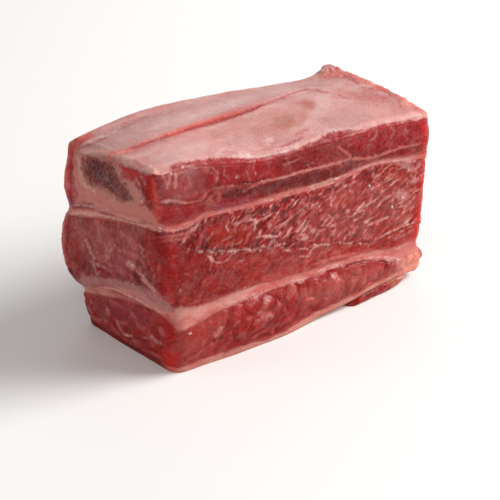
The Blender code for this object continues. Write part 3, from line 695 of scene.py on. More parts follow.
LEFT_END_MARKS = [
    # The sawn bone: its face, the darker ring round the marrow, and the marrow.
    patch(BONE_PINK, 0.95, 5, (73, 150), (84, 149), (104, 152), (119, 160), (124, 172), (133, 181),
          (139, 192), (144, 203), (153, 214), (158, 226), (140, 221), (118, 214), (98, 208), (84, 204),
          (74, 202), (73, 176), fat=0.5, broken=0.1),
    patch(BONE_GREY, 0.5, 9, (77, 152), (92, 150), (110, 156), (120, 168), (130, 184), (138, 200),
          (130, 206), (112, 199), (94, 190), (82, 184), (77, 170), fat=0.3, broken=0.1),
    patch(MARROW, 0.9, 7, (82, 159), (93, 157), (105, 160), (114, 168), (120, 179), (126, 188), (132, 199),
          (126, 202), (117, 198), (108, 191), (97, 186), (88, 182), (83, 174), ragged=3.0, rise=-0.25,
          fat=0.0, broken=0.1, pores=0.8),
    patch(MARROW_DARK, 0.75, 7, (86, 162), (98, 162), (108, 168), (114, 180), (120, 190), (112, 190),
          (100, 182), (89, 176), ragged=3.0, rise=-0.2, fat=0.0),
    patch(MARROW_DARK, 0.55, 3, (119, 190), (124, 191), (130, 199), (124, 200), ragged=2.0, fat=0.0),
    vein(BONE_PALE, 0.5, 3.0, (78, 158), (80, 172), (84, 184), (96, 192), soft=4.0),
    patch(MILKY, 0.5, 4, (100, 150), (118, 153), (134, 160), (140, 165), (126, 164), (112, 158),
          (100, 155)),
    # The red meat beside the bone, with the membrane's thick edge above it.
    patch(VIVID, 0.85, 3, (119, 164), (130, 169), (143, 173), (154, 176), (155, 194), (157, 203),
          (151, 202), (145, 191), (140, 178), (132, 180), (125, 179), (121, 173), ragged=1.8, fat=0.0,
          rise=-0.3),
    vein(RIM_RED, 0.85, 7.0, (153, 182), (154, 190), (156, 202), (158, 212), (160, 220), soft=6.0,
         ragged=2.4, fat=0.0, rise=-0.1, broken=0.3),
    vein(FAT_RED, 0.45, 3.0, (155, 198), (157, 206), (158, 212), soft=4.0, ragged=2.0),
    vein(BLOOD, 0.35, 2.6, (148, 184), (150, 196), (153, 208), soft=3.6),
    vein(EDGE_RED, 0.4, 3.0, (122, 167), (130, 172), (138, 175), soft=2.6),
    vein(MILKY, 0.7, 1.6, (136, 177), (140, 189), (144, 200), soft=1.6),
    vein(MILKY, 0.4, 1.4, (141, 176), (146, 186), soft=1.6),
    shaded_slit(0.5, 2.4, (139, 206), (144, 205), (148, 207), colour=LEAN_DEEP),
    shaded_slit(0.5, 1.6, (141, 221), (148, 223), (155, 225), colour=LEAN_DEEP),
    glint(0.5, 1.4, (141, 200), (142, 202)),
    # The red meat behind the bone, painted brighter along its back edge as rim light.
    patch(CRIMSON, 0.75, 3, (64, 150), (72, 146), (75, 156), (75, 176), (78, 196), (72, 202), (64, 196),
          ragged=1.5, fat=0.1),
    vein(RIM_RED, 0.9, 5.0, (68, 152), (66, 176), (67, 196), soft=4.0, fat=0.1, broken=0.2),
    vein(MILKY, 0.5, 1.6, (74, 158), (75, 176), (79, 194)),
    # The sheets of membrane under the bone.
    vein(MILKY, 0.8, 2.4, (65, 206), (84, 205), (103, 210), (117, 214), (135, 221), (158, 227), soft=1.8,
         rise=0.2),
    vein(FAT, 0.8, 2.2, (66, 212), (90, 213), (110, 217), (130, 222), (146, 226), (160, 231), soft=1.8,
         rise=0.2, broken=0.25),
    vein(GLINT, 0.3, 1.2, (70, 214), (84, 214), (98, 216), soft=1.2),
    shaded_slit(0.5, 1.5, (82, 203), (92, 204), (96, 206), colour=LEAN_DEEP),
    shaded_slit(0.8, 1.8, (70, 208), (88, 209), (104, 213), (114, 216), colour=LEAN_DEEP),
    shaded_slit(0.4, 1.4, (120, 218), (134, 222), (146, 224), colour=LEAN_DEEP),
    # The end of the large muscle.
    patch(LEAN_PALE, 0.35, 10, (72, 224), (90, 222), (120, 226), (140, 236), (134, 262), (110, 262),
          (84, 258)),
    patch(PURPLE_PALE, 0.6, 8, (112, 250), (128, 252), (134, 268), (124, 278), (110, 272)),
    patch(LEAN_DEEP, 0.45, 7, (76, 242), (88, 240), (94, 262), (96, 278), (84, 272), (76, 258)),
    # Painted rim light along the back edge, over the red meat.
    vein(RIM_RED, 0.75, 5.0, (65, 216), (63, 236), (64, 254), (69, 266), soft=5.0, fat=0.0),
    patch(VIVID, 0.4, 5, (68, 214), (74, 216), (76, 240), (80, 262), (74, 266), (68, 244), fat=0.0),
    patch(VIVID, 0.6, 10, (146, 238), (160, 236), (174, 246), (176, 276), (172, 302), (160, 292),
          (150, 264), fat=0.0),
    patch(BLOOD, 0.7, 6, (150, 240), (160, 238), (166, 250), (164, 266), (156, 262), (152, 250), fat=0.0,
          broken=0.6),
    vein(EDGE_RED, 0.5, 5.0, (167, 280), (170, 294), (173, 305), soft=6.0, ragged=2.4, fat=0.0),
    vein(MILKY, 0.7, 2.2, (86, 240), (90, 250), (94, 262), (97, 276), soft=3.0, ragged=2.0),
    *veins(FAT_PINK, 0.4, 4.0, [(96, 218), (99, 230), (98, 240)], [(76, 220), (80, 236), (83, 250)],
           soft=4.6),
    vein(FAT_PINK, 0.45, 3.0, (112, 238), (106, 250), (104, 262), soft=3.6),
    *veins(FAT_PINK, 0.4, 4.0, [(120, 232), (130, 240), (138, 250)], [(106, 264), (118, 268), (126, 276)],
           soft=4.6),
    vein(FAT_PINK, 0.6, 3.4, (141, 279), (150, 286), (160, 296), (168, 304), soft=4.0),
    vein(MILKY, 0.65, 1.8, (90, 262), (94, 263), (103, 267), (111, 272), soft=2.6, ragged=2.0),
    vein(MILKY, 0.7, 2.4, (115, 245), (109, 252), (106, 261), soft=3.2, ragged=2.0),
    vein(FAT_PINK, 0.75, 2.6, (118, 250), (128, 252), (136, 258), soft=3.0),
    vein(MILKY, 0.7, 1.8, (137, 244), (143, 249), (141, 254)),
    vein(FAT, 0.75, 4.8, (128, 261), (131, 265), (134, 269), soft=4.4, rise=0.2, broken=0.3),
    vein(MILKY, 0.8, 2.2, (137, 270), (144, 278), (150, 286), (157, 293), soft=2.8, ragged=2.0, broken=0.4),
    vein(MILKY, 0.4, 1.4, (150, 266), (154, 274), (152, 284)),
    vein(MILKY, 0.35, 1.4, (160, 262), (158, 272)),
    shaded_slit(0.95, 2.6, (133, 273), (138, 280), (142, 286)),
    shaded_slit(0.5, 1.6, (113, 234), (116, 240), (118, 246)),
    *veins(FAT_RED, 0.4, 1.4, [(122, 230), (130, 240), (134, 250)], [(140, 232), (147, 242), (148, 256)]),
    glint(0.6, 1.5, (132, 264), (133, 266)),
    # The fat that spreads under it, and the foot's end.
    patch(MILKY, 0.6, 5, (78, 280), (88, 276), (102, 278), (114, 279), (126, 281), (138, 285), (150, 291),
          (160, 298), (172, 306), (172, 312), (158, 309), (146, 303), (130, 294), (114, 288), (98, 286),
          (84, 288)),
    vein(FAT, 0.75, 1.5, (100, 287), (114, 289), (126, 294), (138, 300), (149, 306), (161, 313), soft=1.4,
         rise=0.25),
    shaded_slit(0.6, 1.6, (104, 290), (118, 293), (130, 299), (143, 306), (156, 313)),
    patch(PURPLE_PALE, 0.35, 9, (96, 296), (116, 296), (140, 308), (152, 320), (140, 330), (112, 318)),
    vein(FAT, 0.65, 2.4, (106, 308), (107, 312), (109, 316), soft=2.2),
    vein(MILKY, 0.5, 1.5, (116, 321), (119, 327), (122, 332)),
    vein(FAT, 0.8, 1.8, (123, 333), (127, 336), (131, 336), soft=1.6, rise=0.2),
    vein(MILKY, 0.6, 1.5, (143, 338), (149, 338), (154, 340), (158, 344)),
    vein(MILKY, 0.5, 1.5, (150, 335), (156, 340), (164, 346)),
    vein(MILKY, 0.4, 1.4, (91, 300), (89, 308), (92, 314)),
    vein(MILKY, 0.35, 1.4, (130, 312), (136, 320), (138, 328)),
    shaded_slit(0.6, 1.8, (128, 339), (138, 339), (146, 343)),
    # Painted shade along the end's lower edge.
    patch(LEAN_DARK, 0.6, 7, (88, 316), (104, 331), (122, 342), (140, 351), (154, 362), (144, 360),
          (120, 348), (98, 334)),
    patch(BLOOD, 0.8, 4, (90, 320), (110, 336), (130, 349), (150, 361), (170, 374), (176, 378), (160, 374),
          (130, 356), (100, 336), fat=0.0),
]

TOP_MARKS = [
    # The grey ridge of the bone under the membrane, with its pale sheen.
    patch(SKIN_GREY, 0.8, 10, (84, 146), (110, 130), (150, 114), (200, 100), (250, 90), (300, 82),
          (326, 80), (322, 88), (296, 91), (262, 103), (216, 117), (168, 132), (124, 150), (100, 154),
          broken=0.15),
    patch(SKIN_SHEEN, 0.6, 9, (150, 128), (176, 118), (206, 108), (236, 99), (256, 96), (240, 104),
          (208, 115), (176, 126)),
    patch(SKIN_SHEEN, 0.35, 7, (262, 92), (300, 84), (340, 86), (320, 90), (280, 97)),
    vein(BONE_GREY, 0.6, 4.0, (110, 130), (128, 124), (149, 117), (176, 109), soft=4.0, rise=-0.2),
    vein(FAT_RED, 0.4, 1.6, (112, 127), (130, 121), (146, 117), (158, 114), soft=2.2),
    vein(BONE_PINK, 0.5, 3.0, (96, 130), (118, 121), (148, 111), (190, 100), soft=4.0),
    # The groove.
    vein(FAT_RED, 0.75, 7.0, (106, 156), (136, 149), (166, 137), (194, 128), (216, 120), (240, 112),
         (262, 105), soft=6.0, rise=0),
    vein(VIVID, 0.7, 2.2, (130, 149), (138, 146), (153, 140.5), (170, 135), (184, 130), soft=2.2,
         rise=-0.25, fat=0.3, broken=0.3),
    vein(CORAL, 0.75, 5.0, (168, 135), (184, 130), (200, 125), (215, 121), (240, 113), soft=3.6, rise=-0.1,
         fat=0.3),
    vein(CRIMSON, 0.95, 3.4, (184, 130), (200, 126), (224, 119), (247, 112), (262, 105), soft=2.8,
         rise=-0.2, fat=0.3),
    vein(CRIMSON, 0.65, 2.2, (255, 108), (266, 104), (276, 100), (288, 95), (297, 92), (306, 90), (319, 91),
         (328, 93), soft=2.4, rise=-0.2),
    vein(FAT_RED, 0.4, 1.8, (296, 87), (314, 86), (333, 85), soft=2.4),
    vein(VIVID, 0.55, 1.6, (338, 95), (343, 97), (349, 99), soft=1.8, rise=-0.1),
    vein(CORAL, 0.6, 3.0, (105, 155), (112, 153), (122, 152), (132, 149), soft=3.0, rise=0.1),
    # Painted orange highlights at the groove's left end.
    vein(CORAL_PALE, 0.8, 2.0, (113, 154), (118, 153), (124, 152), (132, 151), soft=1.8, ragged=1.8,
         rise=0.15),
    # The meat behind the bone at the back left corner.
    patch(RIM_RED, 0.85, 4, (67, 150), (71, 142), (80, 136), (92, 133), (93, 137), (86, 142), (79, 147),
          (73, 151)),
    vein(VIVID, 0.55, 1.8, (81, 148), (94, 143), (107, 138), soft=2.0),
    vein(SKIN_SHEEN, 0.8, 2.2, (81, 146), (90, 141), (101, 137), (109, 136), soft=2.2, rise=0.2),
    vein(SKIN_SHEEN, 0.5, 1.8, (107, 134), (114, 132), (122, 132), soft=2.2, rise=0.1),
    patch(SKIN_SHEEN, 0.5, 6, (84, 148), (104, 145), (114, 151), (104, 155), (88, 154)),
    vein(CREAM, 0.8, 4.0, (80, 151), (92, 151), (104, 152), (114, 155), soft=4.0, ragged=2.0, broken=0.4),
    vein(CREAM, 0.95, 5.0, (116, 156), (130, 160), (143, 166), (157, 173), soft=4.0, ragged=2.4,
         broken=0.2),
    vein(LEAN_WARM, 0.8, 3.0, (124, 166), (133, 169.5), (140, 172), (145, 174.5), soft=2.6, ragged=2.4,
         fat=0.1),
    vein(FAT_RED, 0.6, 4.0, (134, 160), (139, 163), (144, 166), soft=4.0, ragged=2.4),
    vein(GLINT, 0.5, 2.6, (121, 156), (126, 158), (130, 159), soft=2.6, ragged=2.2),
    vein(GLINT, 0.6, 2.6, (147, 166), (152, 168), (156, 170), soft=2.6, ragged=2.2),
    vein(CORAL_PALE, 0.7, 2.6, (106, 154), (112, 155), (118, 156), soft=2.4, ragged=2.0),
    # The front part: pink at the left, greyer and speckled at the right, with darker spots.
    patch(SKIN_PINK, 0.5, 10, (120, 156), (150, 146), (190, 132), (214, 126), (206, 150), (176, 162),
          (156, 170)),
    patch(SKIN_SHEEN, 0.35, 9, (150, 158), (176, 148), (206, 140), (204, 156), (180, 162), (158, 166)),
    patch(TAN, 0.55, 5, (209, 132), (219, 129), (228, 131), (222, 138), (212, 138)),
    patch(TAN, 0.85, 6, (275, 119), (284, 115), (294, 117), (293, 124), (283, 128), (275, 125)),
    patch(TAN, 0.7, 6, (296, 103), (306, 100), (316, 102), (315, 108), (303, 109)),
    patch(FAT_RED, 0.45, 5, (302, 102), (312, 102), (314, 107), (305, 107)),
    patch(TAN, 0.35, 10, (264, 116), (290, 106), (306, 110), (300, 128), (276, 134)),
    patch(TAN, 0.3, 12, (230, 122), (262, 112), (276, 112), (262, 130), (236, 138)),
    patch(SKIN_SHEEN, 0.5, 7, (318, 96), (330, 98), (330, 110), (318, 122), (304, 124), (314, 110)),
    patch(SKIN_GREY, 0.4, 10, (322, 110), (344, 112), (366, 112), (366, 124), (330, 126)),
    vein(CRIMSON, 0.55, 3.4, (284, 146), (292, 143), (298, 140), (304, 137), soft=3.0, ragged=1.4, fat=0.2),
    vein(FAT_RED, 0.6, 3.0, (294, 136), (302, 132), (310, 128), soft=3.0, ragged=1.4, fat=0.2),
    vein(FAT_RED, 0.35, 2.0, (262, 150), (272, 148), (284, 146), soft=2.4),
    patch(FAT_RED, 0.5, 9, (348, 94), (366, 90), (384, 95), (392, 101), (378, 105), (358, 101)),
    vein(CRIMSON, 0.45, 3.0, (360, 88), (372, 89), (384, 90), (392, 93), soft=3.4),
    patch(FAT_RED, 0.35, 9, (388, 96), (402, 104), (404, 114), (392, 110)),
    patch(GLINT, 0.5, 4, (263, 139), (269, 136), (274, 138), (270, 143), (264, 143), ragged=3.0,
          broken=0.9),
    patch(GLINT, 0.45, 4, (238, 154), (246, 152), (252, 154), (247, 157), (240, 157), ragged=3.0,
          broken=0.9),
    patch(GLINT, 0.3, 5, (213, 152), (221, 149), (224, 154), (216, 158), ragged=3.0, broken=0.9),
    vein(SKIN_SHEEN, 0.7, 2.0, (226, 158), (240, 156), (256, 157), (272, 155), (290, 150), soft=2.0,
         rise=0.1),
    vein(SKIN_SHEEN, 0.5, 2.0, (300, 146), (318, 137), (334, 130), (352, 129), soft=2.4, rise=0.1),
    # The coral fat and meat along the back right edge.
    patch(CORAL, 0.6, 4, (321, 78), (326, 72), (334, 68), (346, 69), (352, 76), (346, 79), (334, 77),
          ragged=1.8, rise=0.3),
    vein(CRIMSON, 0.6, 3.0, (344, 76), (352, 80), (361, 84), soft=2.4, ragged=2.0),
    vein(CORAL, 0.8, 3.6, (350, 75), (358, 79), (368, 83), (380, 88), (392, 92), soft=2.8, ragged=2.4,
         rise=0.15),
    vein(CORAL, 0.75, 5.0, (396, 95), (406, 100), (416, 105), (424, 113), soft=3.4, ragged=2.6, rise=0.2),
    vein(CRIMSON, 0.5, 2.4, (388, 94), (398, 100), (402, 108), soft=2.8),
    # A painted orange highlight on one of the lumps.
    vein(CORAL_PALE, 0.85, 3.0, (403, 100), (407, 103), (409, 108), soft=2.2, ragged=2.0, rise=0.3),
    vein(CORAL_PALE, 0.6, 2.0, (408, 112), (414, 114), (421, 115), soft=2.4, ragged=2.0, rise=0.2),
]

EDGE_MARKS = [
    # Painted glow along the right edges of the meat, where the light comes through them.
    vein(EDGE_RED, 0.6, 7.0, (421, 120), (425, 134), (425, 150), soft=6.0, ragged=2.4, fat=0.1, broken=0.6),
    vein(EDGE_RED, 0.55, 6.0, (424, 150), (423, 176), (419, 200), (416, 222), (414, 244), soft=6.0,
         ragged=2.4, fat=0.1, broken=0.6),
    vein(CORAL, 0.5, 2.6, (427, 118), (429, 134), (428, 160), (426, 180), soft=3.4, ragged=2.0, fat=0.2,
         broken=0.6),
    vein(CORAL, 0.5, 2.4, (426, 176), (422, 200), (419, 222), (417, 244), soft=3.4, ragged=2.0, fat=0.2,
         broken=0.6),
    # The wedge of fat between them.
    patch(FAT_PINK, 0.85, 6, (398, 252), (410, 244), (422, 240), (424, 262), (414, 278), (404, 280),
          (396, 272), (404, 262)),
    patch(CORAL_PALE, 0.6, 5, (408, 256), (418, 250), (422, 262), (412, 274), (402, 276)),
]

ALL_MARKS = MUSCLE_MARKS + RIB_MEAT_MARKS + SEAM_MARKS + FOOT_MARKS + LEFT_END_MARKS + TOP_MARKS + EDGE_MARKS

# Where the membrane ends on the front face and the left end, and the jagged crease in the large muscle.
MEMBRANE_EDGE = [(60, 150), (73, 148), (96, 149), (112, 153), (126, 158), (145, 167), (155, 174), (164, 168),
                 (174, 164), (184, 161.5), (200, 159), (216, 159), (231, 157.5), (246, 159), (264, 157),
                 (278, 154), (288, 152), (302, 146), (319, 138.5), (334, 131), (350, 130), (357, 131),
                 (372, 127), (385, 123), (404, 121), (419, 119), (430, 117)]
CREASE = [(178, 248), (187, 249), (200, 250), (213, 251), (226, 250), (240, 249), (255, 248), (270, 247),
          (288, 248), (304, 246), (318, 243.5), (340, 241), (364, 242), (378, 240), (396, 232), (416, 222)]


# ---------------------------------------------------------------- painted surfaces


def three_tones(level, dark, middle, light):
    """Colours for levels from 0 to 1."""
    lower = mix(dark, middle, np.clip(level * 2, 0, 1)[..., None])
    return mix(lower, light, np.clip(level * 2 - 1, 0, 1)[..., None])


class Surface:
    """Points of a piece: where each one lies, and the paint and relief that it gets."""

    def __init__(self, x, y, z, s, t, normal, to_bottom, to_top):
        self.x, self.y, self.z, self.s, self.t, self.normal = x, y, z, s, t, normal
        self.to_bottom, self.to_top = to_bottom, to_top
        self.nearest_seam = np.minimum(to_bottom, to_top)
        self.at_end = ease(np.abs(normal[..., 0]), *FACING)
        self.in_front = ease(-normal[..., 1], *FACING)
        self.pixel_x, self.pixel_y = pixels_of(x, y, z)
        self.shown = ease(normal @ -view_axes()[3], *SEEN_FACING)
        self.colour = np.zeros(x.shape + (3,))
        self.fat = np.zeros(x.shape)
        self.pores = np.zeros(x.shape)
        self.relief = np.zeros(x.shape)

    def noise(self, size, seed, octaves=2):
        """Noise with bumps of the given size; three sizes give them along X, Y and Z."""
        sizes = size if isinstance(size, tuple) else (size, size, size)
        return ripples(self.x / sizes[0], self.y / sizes[1], self.z / sizes[2], seed, octaves)

    def paint(self, colour, share, fat=None):
        share = np.clip(share, 0, 1)
        self.colour = mix(self.colour, colour, share[..., None])
        if fat is not None:
            self.fat = mix(self.fat, fat, share)

    def draw(self, mark, seed):
        """Paints one mark where the photograph shows the surface."""
        line = rounded_line(mark["pixels"], mark["closed"])
        reach = mark["width"] / 2 + mark["soft"] + 2 * mark["ragged"]
        low, high = line.min(0) - reach, line.max(0) + reach
        near = (self.pixel_x > low[0]) & (self.pixel_x < high[0]) & (self.pixel_y > low[1])
        near &= (self.pixel_y < high[1]) & (self.shown > 0)
        if not near.any():
            return
        a, b = self.pixel_x[near], self.pixel_y[near]
        x, y, z = self.x[near], self.y[near], self.z[near]
        gap, along = line_distance(a, b, line)
        if mark["closed"]:
            gap = np.where(inside_outline(a, b, line), -gap, gap)
        else:
            taper = np.sqrt(np.clip(6 * np.minimum(along, 1 - along), 0.1, 1))
            gap = gap - mark["width"] / 2 * taper
        rag = ripples(x / FRAY_SIZE, y / FRAY_SIZE, z / FRAY_SIZE, seed, 3)
        share = 1 - ease(gap + mark["ragged"] * rag, -mark["soft"] / 2, mark["soft"] / 2)
        worn = ripples(x / WEAR_SIZE, y / WEAR_SIZE, z / WEAR_SIZE, seed + 11, 3)
        share = share * self.shown[near] * (1 - mark["broken"] * ease(worn, -0.3, 0.7))
        self.relief[near] += mark["rise"] * share
        full = np.zeros(self.x.shape)
        full[near] = share * mark["most"]
        self.paint(mark["colour"], full, mark["fat"])
        self.pores = np.maximum(self.pores, full * mark["pores"])

    def draw_all(self):
        for number, mark in enumerate(ALL_MARKS):
            self.draw(mark, number)


def fibres(surface, slant, length, thickness, seed, warp, octaves=2):
    """Noise drawn out along fibres that rise to the right by a slant, and waver a little."""
    cos, sin = math.cos(slant), math.sin(slant)
    run = mix(surface.x, -surface.y, surface.at_end)
    depth = mix(surface.y, surface.x, surface.at_end)
    along, across = run * cos + surface.z * sin, surface.z * cos - run * sin
    waver = warp * ripples(along / 7, across / 4, depth / 7, seed=seed + 5, octaves=2)
    return ripples(along / length, (across + waver) / thickness, depth / length, seed=seed, octaves=octaves)


def grained(surface, share, length, thickness, seed, warp, octaves=2):
    """Fibres that turn from one slant to another: share 1 gives the first one."""
    first = fibres(surface, GRAIN_SLANTS[0], length, thickness, seed, warp, octaves)
    second = fibres(surface, GRAIN_SLANTS[1], length, thickness, seed + 3, warp, octaves)
    return (first * share + second * (1 - share)) / np.hypot(share, 1 - share)


def pixel_line(surface, line):
    """How far down the photograph a line lies where the surface's points are seen, in pixels."""
    line = np.array(line, float)
    return np.interp(surface.pixel_x, line[:, 0], line[:, 1])


def threads(field, low, high):
    """Thin lines where a field passes through zero."""
    return ease(1 - np.abs(field), low, high)


def paint_lean(surface, seed, dark, middle, detail=1.0):
    """Blotches, faint fibres, thin pale threads and small specks of lean meat."""
    soft = surface.noise((9, 9, 6), seed, 2)
    tissue = surface.noise((3.2, 3.2, 2.4), seed + 3, 3)
    fine = fibres(surface, 0.3, 3.4, 0.9, seed + 1, 0.6)
    level = 0.44 + 0.26 * soft + detail * (0.34 * tissue + 0.12 * fine)
    surface.colour = three_tones(level, dark, middle, LEAN_WARM)
    surface.paint(RUST, 0.3 * ease(surface.noise((7, 7, 5), seed + 6), 0.1, 0.7))
    surface.paint(CRIMSON, 0.3 * ease(surface.noise((8, 8, 6), seed + 7), 0.1, 0.7))
    net = threads(surface.noise((4.0, 4.0, 3.2), seed + 8, 3), 0.86, 0.99)
    net = net * ease(surface.noise(6, seed + 9), -0.1, 0.5)
    surface.paint(MILKY, 0.35 * detail * net, 0.5)
    dots = ease(surface.noise(0.9, seed + 5, 1), 0.5, 0.85) * ease(surface.noise(5, seed + 2), 0.0, 0.6)
    surface.paint(FAT_PINK, 0.35 * detail * dots, 0.5)
    surface.relief += 0.2 * surface.noise((6, 6, 4), seed + 2) + detail * (0.1 * tissue + 0.05 * fine)


def paint_wet_highlights(surface, seed, most=0.3):
    """Tiny highlights where the wet grain catches the light."""
    spots = ease(surface.noise(0.7, seed, 1), 0.68, 0.9)
    wet = ease(surface.noise((4.5, 4.5, 3), seed + 1), 0.15, 0.7)
    surface.paint(GLINT, most * (spots * wet))


def paint_glow(surface):
    """Painted glow: the meat of the right end is painted brighter beside its near edge, where the light comes
    through it.
    """
    beside = surface.at_end * ease(surface.x, *GLOW_X) * ease(surface.y, *GLOW_Y)
    surface.paint(EDGE_RED, 0.3 * beside * ease(surface.noise(4, 160), -0.6, 0.4), 0.1)


def paint_seam_edges(surface, seed):
    """Fat creeps from the seams a little way into the meat."""
    creep = 0.2 + 0.5 * surface.noise((4, 4, 2), seed, 3)
    share = 1 - ease(surface.nearest_seam - creep, -0.5, 0.7)
    surface.paint(FAT_RED, 0.7 * share, 0.6)


def paint_main_muscle(surface):
    """The large muscle: marbled strands above a jagged crease, finer grain below it."""
    paint_lean(surface, 20, LEAN_DEEP, LEAN)
    edge = pixel_line(surface, CREASE)
    jagged = mix(1.0, 2.2, ease(surface.pixel_x, *ROUGH_CREASE_PX))
    small = ripple(surface.pixel_x / 2.6, 0, seed=32)
    edge += jagged * ripples(surface.pixel_x / 6, 0, seed=31) + 0.8 * small
    above_shown = ease(edge - surface.pixel_y, -1.0, 1.4)
    above_hidden = ease(surface.z - HIDDEN_CREASE_Z - 3 * surface.noise((9, 9, 20), 33), -1.0, 1.0)
    on_front = surface.shown * surface.in_front
    above = mix(above_hidden * 0.85, above_shown, on_front)
    above = mix(above, 0.5, surface.shown * surface.at_end)

    to_right = ease(surface.x, *RICH_MARBLING_X)
    turn = ease(surface.noise((11, 11, 8), 39) + 1.3 * to_right - 0.45, -0.3, 0.5)
    broad = grained(surface, turn, 7.0, 2.8, 41, 0.9)
    middle = grained(surface, turn, 3.8, 1.5, 42, 0.9)
    fine = grained(surface, turn, 2.1, 0.85, 43, 0.6, 1)
    mottle = surface.noise((2.6, 2.6, 2.2), 47, 3)
    contrast = mix(0.7, 1.25, to_right)
    level = mix(0.2, 0.44, to_right) + 0.26 * broad + 0.24 * mottle + contrast * (0.4 * middle + 0.28 * fine)
    marbled = three_tones(level, LEAN_DARK, LEAN, LEAN_PALE)
    rusty = 0.5 * ease(surface.noise((6, 6, 4), 44), 0.0, 0.6) * ease(level, 0.2, 0.5)
    surface.paint(mix(marbled, RUST, rusty[..., None]), 0.95 * above)
    below = fibres(surface, 0.12, 4.2, 1.6, 53, 0.8) + surface.noise((6, 6, 4), 58)
    below = mix(0.1, 0.5, to_right) + 0.35 * below
    surface.paint(three_tones(below, LEAN_DEEP, LEAN_WARM, LEAN_PALE), 0.7 * (1 - above))

    patchy = ease(surface.noise((10, 10, 7), 45), -0.4, 0.5)
    richness = mix(0.5, 1.0, to_right) * above
    # The fat: a net of threads, dashes along the grain, and longer streaks at the right with dark gaps, with
    # painted highlights on the streaks and in small specks.
    net = threads(grained(surface, turn, 6.0, 2.6, 46, 1.4, 3), 0.8, 1.0)
    surface.paint(MILKY, 0.6 * net * richness * patchy, 0.8)
    surface.paint(MILKY, 0.75 * ease(middle + 0.5 * fine + 0.3 * mottle, 0.35, 1.0) * richness, 0.8)
    surface.paint(FAT, 0.75 * ease(0.8 * middle + 0.6 * fine, 0.6, 1.05) * richness, 0.8)
    streaks = fibres(surface, 0.42, 8.0, 1.3, 155, 0.8, 2)
    streaked = richness * to_right
    surface.paint(FAT, 0.95 * ease(streaks, 0.42, 0.85) * streaked, 0.8)
    surface.paint(GLINT, 0.5 * ease(streaks, 0.8, 1.15) * streaked)
    surface.paint(LEAN_DARK, 0.85 * ease(-streaks, 0.34, 0.8) * streaked)
    surface.paint(GLINT, 0.6 * ease(surface.noise(0.8, 49, 1) + 0.3 * fine, 0.55, 0.9) * richness * patchy)
    surface.paint(LEAN_DARK, ease(-middle - 0.4 * fine - 0.3 * mottle, 0.3, 0.85) * above * 0.75)
    paint_cut_end(surface)
    faint = threads(fibres(surface, 0.25, 5.0, 1.8, 48, 1.0), 0.88, 0.99)
    surface.paint(LEAN_PALE, faint * (1 - above) * 0.4, 0.4)
    surface.relief += (0.14 * broad + 0.2 * middle + 0.1 * fine + 0.08 * mottle) * mix(0.25, 1.0, above)
    paint_crease(surface, edge, above_shown, on_front)
    paint_wet_highlights(surface, 54, 0.15)
    paint_seam_edges(surface, 52)


def paint_cut_end(surface):
    """The end of the large muscle: cut across its fibres, cloudy, with winding threads of fat."""
    end = surface.at_end
    cloud = surface.noise((5, 4, 3.4), 151, 3)
    surface.paint(LEAN_DARK, end * 0.65 * ease(-cloud, 0.0, 0.6))
    surface.paint(PURPLE_PALE, end * 0.7 * ease(cloud, 0.05, 0.7))
    surface.paint(VIVID, end * 0.5 * ease(surface.noise((6, 5, 5), 156, 3), 0.1, 0.7))
    wind = surface.noise((4.5, 4.5, 6.5), 152, 3)
    winding = threads(wind, 0.45, 1.0) * ease(surface.noise(7, 153), -0.3, 0.4)
    surface.paint(FAT_PINK, end * 0.4 * winding, 0.7)
    surface.paint(LEAN_DARK, end * 0.5 * threads(surface.noise((4, 4, 6), 154, 2), 0.6, 1.0))
    surface.relief += end * 0.15 * cloud


def paint_crease(surface, edge, above, on_front):
    """A small ledge: dark pockets over it at the left, painted as shade, and a row of pale knots along its
    lip, with painted highlights on them.
    """
    drop = edge - surface.pixel_y
    here = ease(surface.pixel_x, *CREASE_START_PX) * on_front
    to_left = ease(surface.pixel_x, *CREASE_POCKETS_PX)
    surface.relief += here * 0.5 * above * np.exp(-np.clip(drop, 0, 99) / 12)
    # Painted shade in the pockets just over the ledge.
    pocket = hump((drop - 1.6) / 2.8) * ease(ripples(surface.pixel_x / 5, 0, seed=56), -0.3, 0.4)
    surface.paint(SLIT_SHADE, 0.7 * pocket * here * to_left)
    surface.relief -= 0.3 * pocket * here * to_left
    knots = ease(surface.noise((1.4, 1.4, 1.1), 50, 2), -0.15, 0.4)
    stretch = ease(ripples(surface.pixel_x / 9, 0, seed=57), -0.4, 0.3) * (1 - 0.3 * to_left)
    wander = mix(1.5, 2.8, to_left) * surface.noise(2.4, 55, 2)
    lip = hump((drop + 1.8 + wander) / 2.6) * here * knots * stretch
    surface.paint(MILKY, 0.75 * ease(lip, 0.05, 0.5), 0.9)
    surface.paint(FAT, 0.6 * ease(lip, 0.45, 0.95), 0.9)
    surface.paint(GLINT, 0.6 * ease(lip, 0.75, 1.0) * ease(surface.noise(0.9, 59, 1), 0.1, 0.5))
    surface.relief += 0.3 * lip


